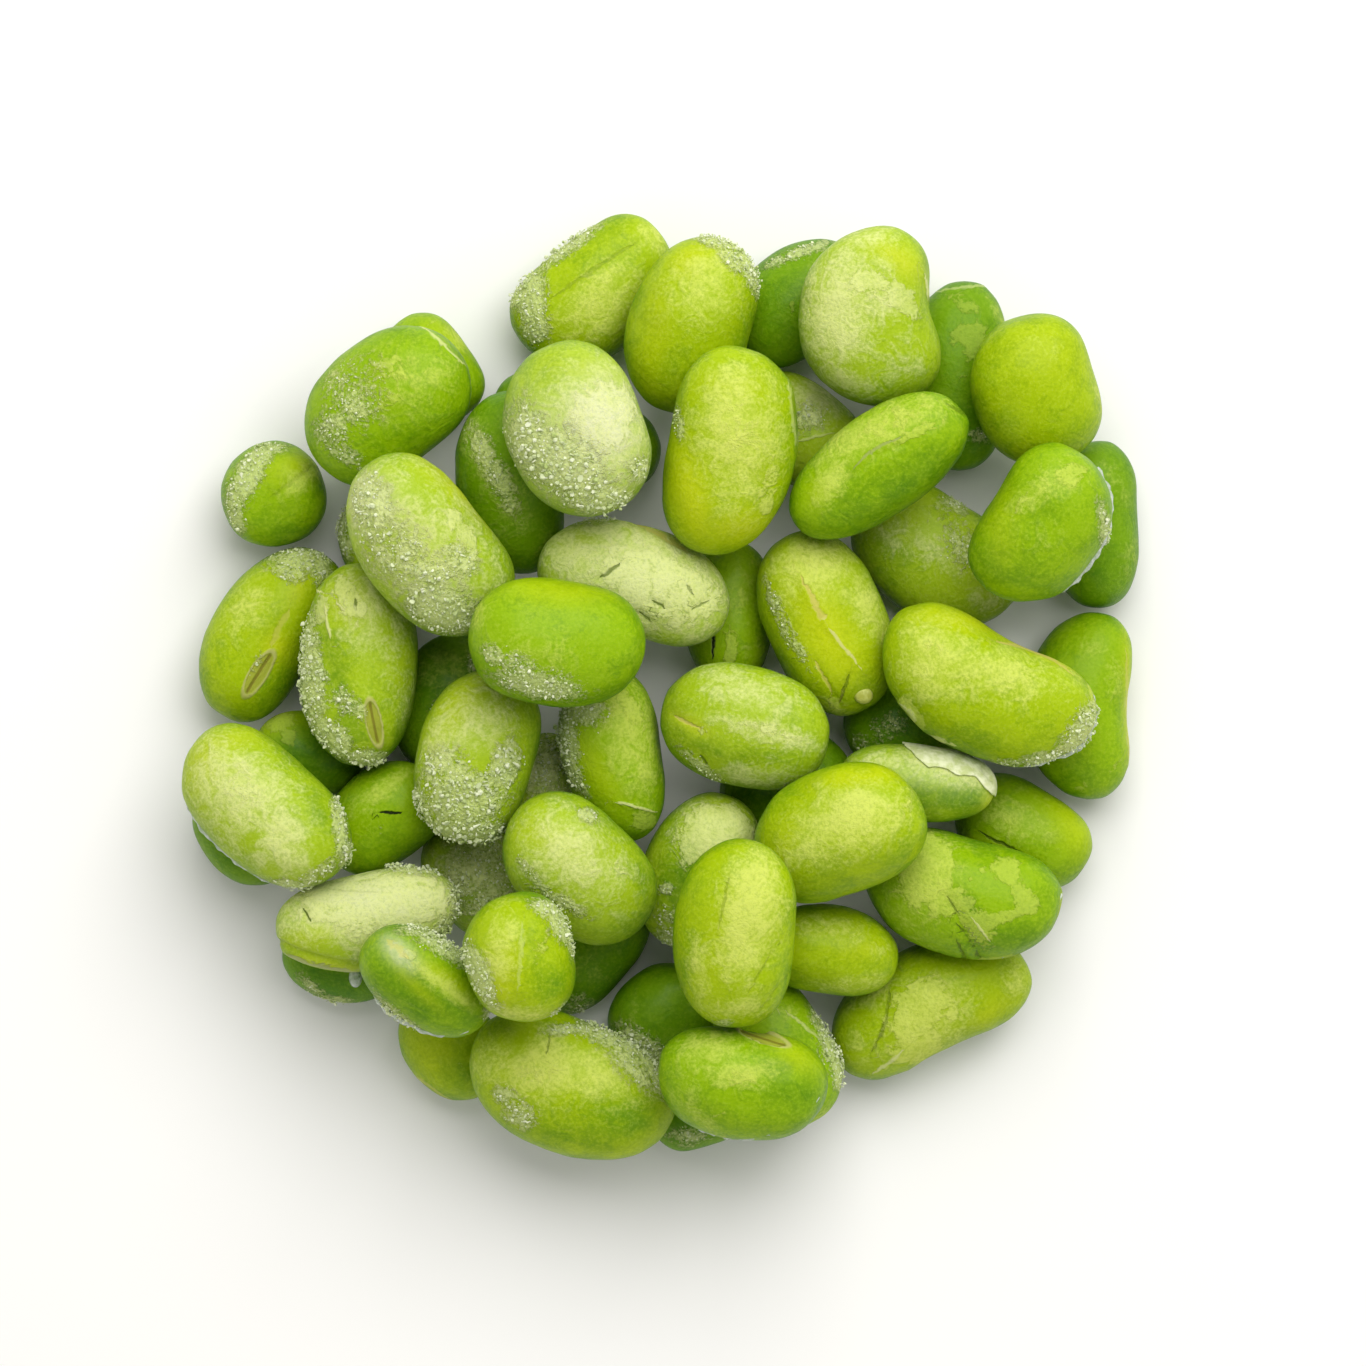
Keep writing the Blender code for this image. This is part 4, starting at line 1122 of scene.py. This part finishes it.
materials = {shade: skin_material(shade) for shade in SHADES}
slots = {node: piece.data.materials[0].name for node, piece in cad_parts.items()}
print("slots:", sorted(set(slots.values())))

# %% [markdown]
# ## Dressing the nodes
#
# Each skin stands for its solid, which is hidden but stays in the physics, and rides on the heap's one body.

# %% Put the skins in place of the solids
for node, skin in skins.items():
    shade = slots[node].removeprefix("skin_")
    skin.data.materials.append(materials[shade])
    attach(skin, "root")
    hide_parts(node)
print(len(skins), "skins in place")

# %% [markdown]
# ## Rime
#
# Rime is a crust of small ice crystals, most of them a tenth to two fifths of a millimetre across. Three are
# modelled: a chunk, which comes twice as often as the others, a plate and a needle. Copies of them
# are strewn over the skins where rime is painted, and all the crystals of one bean are one piece, so that the
# whole stays light.

# %% Three crystals
def crystal_shape(thing):
    """A crystal's points and triangles, after which the crystal itself is removed."""
    mesh = thing.data
    mesh.calc_loop_triangles()
    corners = np.array([triangle.vertices for triangle in mesh.loop_triangles])
    shape = read_points(mesh), corners
    bpy.data.objects.remove(thing)
    return shape


def model_chunk():
    """A ball with two sides cut off."""
    bpy.ops.mesh.primitive_ico_sphere_add(subdivisions=1, radius=1.0)
    chunk = bpy.context.object
    bpy.ops.object.mode_set(mode="EDIT")
    for cut, way in (((0.55, 0, 0.1), (1, 0.2, 0.3)), ((-0.2, 0.5, 0.3), (-0.3, 1, 0.5))):
        bpy.ops.mesh.select_all(action="SELECT")
        bpy.ops.mesh.bisect(plane_co=cut, plane_no=way, use_fill=True, clear_outer=True)
    bpy.ops.object.mode_set(mode="OBJECT")
    return crystal_shape(chunk)


def model_plate():
    """A flat six-sided crystal."""
    bpy.ops.mesh.primitive_cylinder_add(vertices=6, radius=1.1, depth=0.5)
    with editing():
        bpy.ops.transform.resize(value=(1.0, 0.75, 1.0))
    return crystal_shape(bpy.context.object)


def model_needle():
    """A pointed crystal."""
    bpy.ops.mesh.primitive_cone_add(vertices=5, radius1=0.55, radius2=0.12, depth=2.4)
    return crystal_shape(bpy.context.object)


crystals = [model_chunk(), model_chunk(), model_plate(), model_needle()]
print("triangles in each crystal:", [len(corners) for _, corners in crystals])

# %% Strewing the crystals
CRYSTALS_PER_MM2 = 11.0
SMALLEST = 0.05
LARGEST = 0.20
FEW_LARGE = 2.2
THIN_GROWTH = 0.4
CRUST = 0.38
CRUST_POWER = 1.5
ROOT = 0.05
STAND_OUT = 0.2
LEAST_STRETCH = 0.7
STRETCH_RANGE = 0.6
LEAST_RIME = 0.22
RIME_EDGE = 0.45
PATCH_SIZE = 1.3 * MM
PATCHINESS = 0.22
FEWEST_CRYSTALS = 12
COARSE = {"upper_bean_07": 1.45, "upper_bean_12": 1.3, "upper_bean_10": 1.3, "upper_bean_09": 1.2}


def crystal_places(mesh, coarse, draw):
    """Places, ways out and thickness of rime for the crystals of one bean."""
    mesh.calc_loop_triangles()
    points, normals = read_points(mesh), read_points(mesh, "normal")
    rime_painted = np.empty(len(points), np.float32)
    mesh.attributes["rime"].data.foreach_get("value", rime_painted)
    patchy = np.array([noise.noise(Vector(point) / PATCH_SIZE) for point in points])
    thick = np.clip((rime_painted + PATCHINESS * patchy - LEAST_RIME) / RIME_EDGE, 0, 1)
    corners = np.array([triangle.vertices for triangle in mesh.loop_triangles])
    one, two, three = (points[corners[:, side]] for side in range(3))
    area = np.linalg.norm(np.cross(two - one, three - one), axis=1) / 2 / MM**2
    wanted = area * CRYSTALS_PER_MM2 / coarse * thick[corners].mean(axis=1)
    count = np.floor(wanted + draw.random(len(wanted))).astype(int)
    chosen = np.repeat(np.arange(len(corners)), count)
    share = draw.dirichlet((1, 1, 1), len(chosen))
    places, ways = ((values[corners[chosen]] * share[..., None]).sum(axis=1) for values in (points, normals))
    return places, ways, (thick[corners[chosen]] * share).sum(axis=1)


def turned(draw, count):
    """Random rotations."""
    q = draw.normal(size=(count, 4))
    w, x, y, z = (q / np.linalg.norm(q, axis=1)[:, None]).T
    rows = (
        (1 - 2 * (y * y + z * z), 2 * (x * y - z * w), 2 * (x * z + y * w)),
        (2 * (x * y + z * w), 1 - 2 * (x * x + z * z), 2 * (y * z - x * w)),
        (2 * (x * z - y * w), 2 * (y * z + x * w), 1 - 2 * (x * x + y * y)),
    )
    return np.moveaxis(np.array(rows), 2, 0)


def strew(node, draw):
    """One piece with all the crystals of a bean, or nothing where it has no rime."""
    coarse = COARSE.get(node, 1.0)
    places, ways, thick = crystal_places(skins[node].data, coarse, draw)
    if len(places) < FEWEST_CRYSTALS:
        return None
    growth = (LARGEST - SMALLEST) * draw.random(len(places)) ** FEW_LARGE
    growth = growth * (THIN_GROWTH + (1 - THIN_GROWTH) * thick)
    size = (SMALLEST + growth) * coarse * MM
    rise = (draw.random(len(places)) ** CRUST_POWER * CRUST * thick**CRUST_POWER - ROOT) * MM
    places = places + ways * (rise + STAND_OUT * size)[:, None]
    sorts = draw.integers(0, len(crystals), len(places))
    all_points, all_faces, all_glints, start = [], [], [], 0
    for sort, (shape, corners) in enumerate(crystals):
        mine = np.flatnonzero(sorts == sort)
        turns = turned(draw, len(mine))
        stretch = LEAST_STRETCH + STRETCH_RANGE * draw.random((len(mine), 1, 3))
        grown = np.einsum("nij,nkj->nki", turns, shape[None] * stretch) * size[mine, None, None]
        all_points.append((grown + places[mine, None]).reshape(-1, 3))
        firsts = np.arange(len(mine)) * len(shape) + start
        all_faces.append((corners[None] + firsts[:, None, None]).reshape(-1, 3))
        all_glints.append(np.repeat(draw.random(len(mine)), len(shape)))
        start += len(mine) * len(shape)
    mesh = bpy.data.meshes.new(f"{node}_rime")
    mesh.from_pydata(np.concatenate(all_points), [], np.concatenate(all_faces).tolist())
    mesh.attributes.new("glint", "FLOAT", "POINT").data.foreach_set("value", np.concatenate(all_glints))
    return new_object(f"{node}_rime", mesh)


# %% Rime material and rime
# Each crystal's colour lies between these two by its random glint value: partly the crystals' own whiteness,
# partly a painted glint.
DULL_RIME = (0.46, 0.56, 0.18, 1)
BRIGHT_RIME = (0.84, 0.87, 0.62, 1)

rime_crystals, rime_tree, rime_shader = new_material("rime_crystals")
shine = blend(rime_tree, painted_value(rime_tree, "glint"), DULL_RIME, BRIGHT_RIME)
rime_tree.links.new(shine, rime_shader.inputs["Base Color"])
set_inputs(rime_shader, {"Roughness": 0.30, "Specular IOR Level": 0.35})
set_inputs(rime_shader, {"IOR": 1.31, "Transmission Weight": 0.10})

draw = np.random.default_rng(20)
rimes = {node: strew(node, draw) for node in skins}
rimes = {node: piece for node, piece in rimes.items() if piece}
for node, piece in rimes.items():
    piece.data.materials.append(rime_crystals)
    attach(piece, "root")
print(len(rimes), "beans with rime,", sum(len(piece.data.polygons) for piece in rimes.values()), "triangles")

# %% [markdown]
# ## Ice rims, an ice drop and a torn coat
#
# Where two frozen beans were pulled apart, a rim of clear ice stayed along the edge. A rim is a curve over
# points on the bean's edge, thick in some places and thin in others, turned into a mesh and made uneven. One
# bean has lost half of its coat: the rest is a thin white flap, copied from the skin and lifted off it.

# %% Ice and coat materials
def uneven_material(name, darker_colour, lighter_colour, size_mm, relief_mm):
    """A material of two tones with a fine relief."""
    material, tree, shader = new_material(name)
    place = tree.nodes.new("ShaderNodeTexCoord").outputs["Object"]
    tone = ramp_between(tree, noise_of(tree, place, size_mm, 3, 0.6), TONE_START, TONE_END)
    tree.links.new(blend(tree, tone, darker_colour, lighter_colour), shader.inputs["Base Color"])
    add_relief(tree, shader, tone, relief_mm * MM)
    return material, shader


CLEAR_TONES = ((0.55, 0.68, 0.45, 1), (0.90, 0.94, 0.88, 1))
TORN_TONES = ((0.56, 0.62, 0.26, 1), (0.80, 0.82, 0.54, 1))

clear_ice, clear_shader = uneven_material("clear_ice", *CLEAR_TONES, 0.5, 0.08)
set_inputs(clear_shader, {"Roughness": 0.22, "IOR": 1.31, "Transmission Weight": 0.35})
torn_skin, torn_shader = uneven_material("torn_coat", *TORN_TONES, 0.8, 0.06)
set_inputs(torn_shader, {"Roughness": 0.6, "Specular IOR Level": 0.15})
print("materials:", clear_ice.name, torn_skin.name)

# %% Ice rims
FREE_END = 0.25
RIM_WELD = 0.001 * MM
RIM_SWELL = 0.9
RIM_SWELL_SIZE = 0.7 * MM


def on_skin(node, east, north):
    """The point of a bean's upper side at these shares of its box."""
    mesh = skins[node].data
    return Vector(middle_of(dent(east, north, 1, 1), node, read_points(mesh), read_points(mesh, "normal")))


def rim_curve(node, stops, thickness):
    """A thick curve over stops on a bean's edge, thin at both ends."""
    curve = bpy.data.curves.new(f"{node}_ice_rim", "CURVE")
    curve.dimensions = "3D"
    curve.resolution_u = 10
    curve.bevel_depth = thickness * MM
    curve.bevel_resolution = 3
    curve.use_fill_caps = True
    line = curve.splines.new("NURBS")
    line.points.add(len(stops) - 1)
    line.use_endpoint_u = True
    for number, (point, stop) in enumerate(zip(line.points, stops)):
        point.co = (*on_skin(node, *stop), 1)
        point.radius = FREE_END if number in (0, len(stops) - 1) else draw.uniform(0.6, 1.3)
    return curve


def ice_rim(node, stops, thickness):
    """A rim of ice over stops on a bean's edge."""
    alone(new_object(f"{node}_ice_rim", rim_curve(node, stops, thickness)))
    bpy.ops.object.convert(target="MESH")
    rim = bpy.context.object
    rim.name = f"{node}_ice_rim"
    with editing():
        bpy.ops.mesh.remove_doubles(threshold=RIM_WELD)
        bpy.ops.mesh.normals_make_consistent(inside=False)
    points, normals = read_points(rim.data), read_points(rim.data, "normal")
    swell = np.array([noise.noise(Vector(point) / RIM_SWELL_SIZE) for point in points])
    write_points(rim.data, points + normals * (RIM_SWELL * thickness * swell * MM)[:, None])
    bpy.ops.object.shade_smooth()
    rim.data.materials.append(clear_ice)
    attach(rim, "root")
    return rim


RIMS = {
    "upper_bean_04": ([(0.92, 0.86), (1.0, 0.7), (1.0, 0.5), (0.96, 0.3), (0.84, 0.14), (0.68, 0.04)], 0.34),
    "upper_bean_11": ([(0.0, 0.5), (0.1, 0.35), (0.24, 0.2), (0.4, 0.1), (0.55, 0.02)], 0.28),
    "upper_bean_18": ([(0.99, 0.5), (1.0, 0.36), (0.98, 0.22), (0.9, 0.1), (0.78, 0.02), (0.66, 0.0)], 0.36),
    "upper_bean_20": ([(1.0, 0.5), (0.96, 0.32), (0.86, 0.12), (0.7, 0.02)], 0.24),
    "upper_bean_26": ([(0.04, 0.3), (0.14, 0.14), (0.34, 0.03), (0.6, 0.0), (0.84, 0.06)], 0.38),
    "upper_bean_29": ([(0.2, 0.02), (0.4, 0.0), (0.62, 0.04), (0.82, 0.2), (0.95, 0.4)], 0.30),
}
rims = [ice_rim(node, stops, thickness) for node, (stops, thickness) in RIMS.items()]
print("ice rims:", len(rims))

# %% A frozen drop and the stub of a stalk
def bead(name, node, stop, half_sizes_mm, material):
    """Adds a small rounded piece that sits on a bean's skin."""
    bpy.ops.mesh.primitive_uv_sphere_add(segments=24, ring_count=16, radius=MM)
    piece = bpy.context.object
    piece.name = name
    with editing():
        bpy.ops.transform.resize(value=half_sizes_mm)
    write_points(piece.data, read_points(piece.data) + np.array(on_skin(node, *stop)))
    bpy.ops.object.shade_smooth()
    piece.data.materials.append(material)
    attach(piece, "root")


STUB_TONES = ((0.36, 0.38, 0.04, 1), (0.52, 0.55, 0.13, 1))

stalk_stub, stub_shader = uneven_material("stalk_stub", *STUB_TONES, 0.6, 0.05)
set_inputs(stub_shader, {"Roughness": 0.5})
bead("lower_bean_28_ice_drop", "lower_bean_28", (0.61, 0.36), (0.60, 0.94, 0.75), clear_ice)
bead("upper_bean_13_stub", "upper_bean_13", (0.77, 0.10), (0.85, 0.75, 0.55), stalk_stub)
print("an ice drop and a stub added")

# %% The torn coat
COAT_START = 0.40
COAT_SLANT = 0.5
COAT_EDGE = 0.80
COAT_SLOPE = 0.50
COAT_WAVE = 0.02
COAT_WAVES = 31
COAT_END = 0.88
COAT_DROP = 1.2
COAT_LOWEST = -0.1
COAT_LIFT = 0.07
COAT_THICKNESS = 0.15
EDGE_SMOOTHINGS = 6


def under_coat(east, north):
    """Whether the flap covers a point, given by its shares of the bean's box. Its edge waves a little."""
    edge = COAT_EDGE - COAT_SLOPE * (east - COAT_START) + COAT_WAVE * math.sin(COAT_WAVES * east)
    if east > COAT_END:
        edge -= COAT_DROP * (east - COAT_END)
    return east > COAT_START + COAT_SLANT * (1 - north) and north > edge


def torn_coat(node):
    """The flap of coat that is left on a bean."""
    flap = skins[node].copy()
    flap.data = skins[node].data.copy()
    flap.name = f"{node}_torn_coat"
    bpy.context.scene.collection.objects.link(flap)
    bpy.context.tool_settings.mesh_select_mode = (False, False, True)
    low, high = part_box(node)
    for face in flap.data.polygons:
        east = (face.center.x - low.x) / (high.x - low.x)
        north = (face.center.y - low.y) / (high.y - low.y)
        face.select = not (under_coat(east, north) and face.normal.z > COAT_LOWEST)
    alone(flap)
    bpy.ops.object.mode_set(mode="EDIT")
    bpy.ops.mesh.delete(type="FACE")
    bpy.ops.mesh.select_all(action="SELECT")
    bpy.ops.mesh.region_to_loop()
    bpy.ops.mesh.vertices_smooth(factor=0.5, repeat=EDGE_SMOOTHINGS)
    bpy.ops.object.mode_set(mode="OBJECT")
    points, normals = read_points(flap.data), read_points(flap.data, "normal")
    write_points(flap.data, points + normals * COAT_LIFT * MM)
    softened = flap.modifiers.new("softened", "SUBSURF")
    softened.levels = softened.render_levels = 1
    bpy.ops.object.modifier_apply(modifier="softened")
    thickness = flap.modifiers.new("thickness", "SOLIDIFY")
    thickness.thickness = COAT_THICKNESS * MM
    thickness.offset = 1
    bpy.ops.object.modifier_apply(modifier="thickness")
    flap.data.materials.clear()
    flap.data.materials.append(torn_skin)
    return flap


flap = torn_coat("upper_bean_19")
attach(flap, "root")
print("torn coat of", len(flap.data.polygons), "faces")
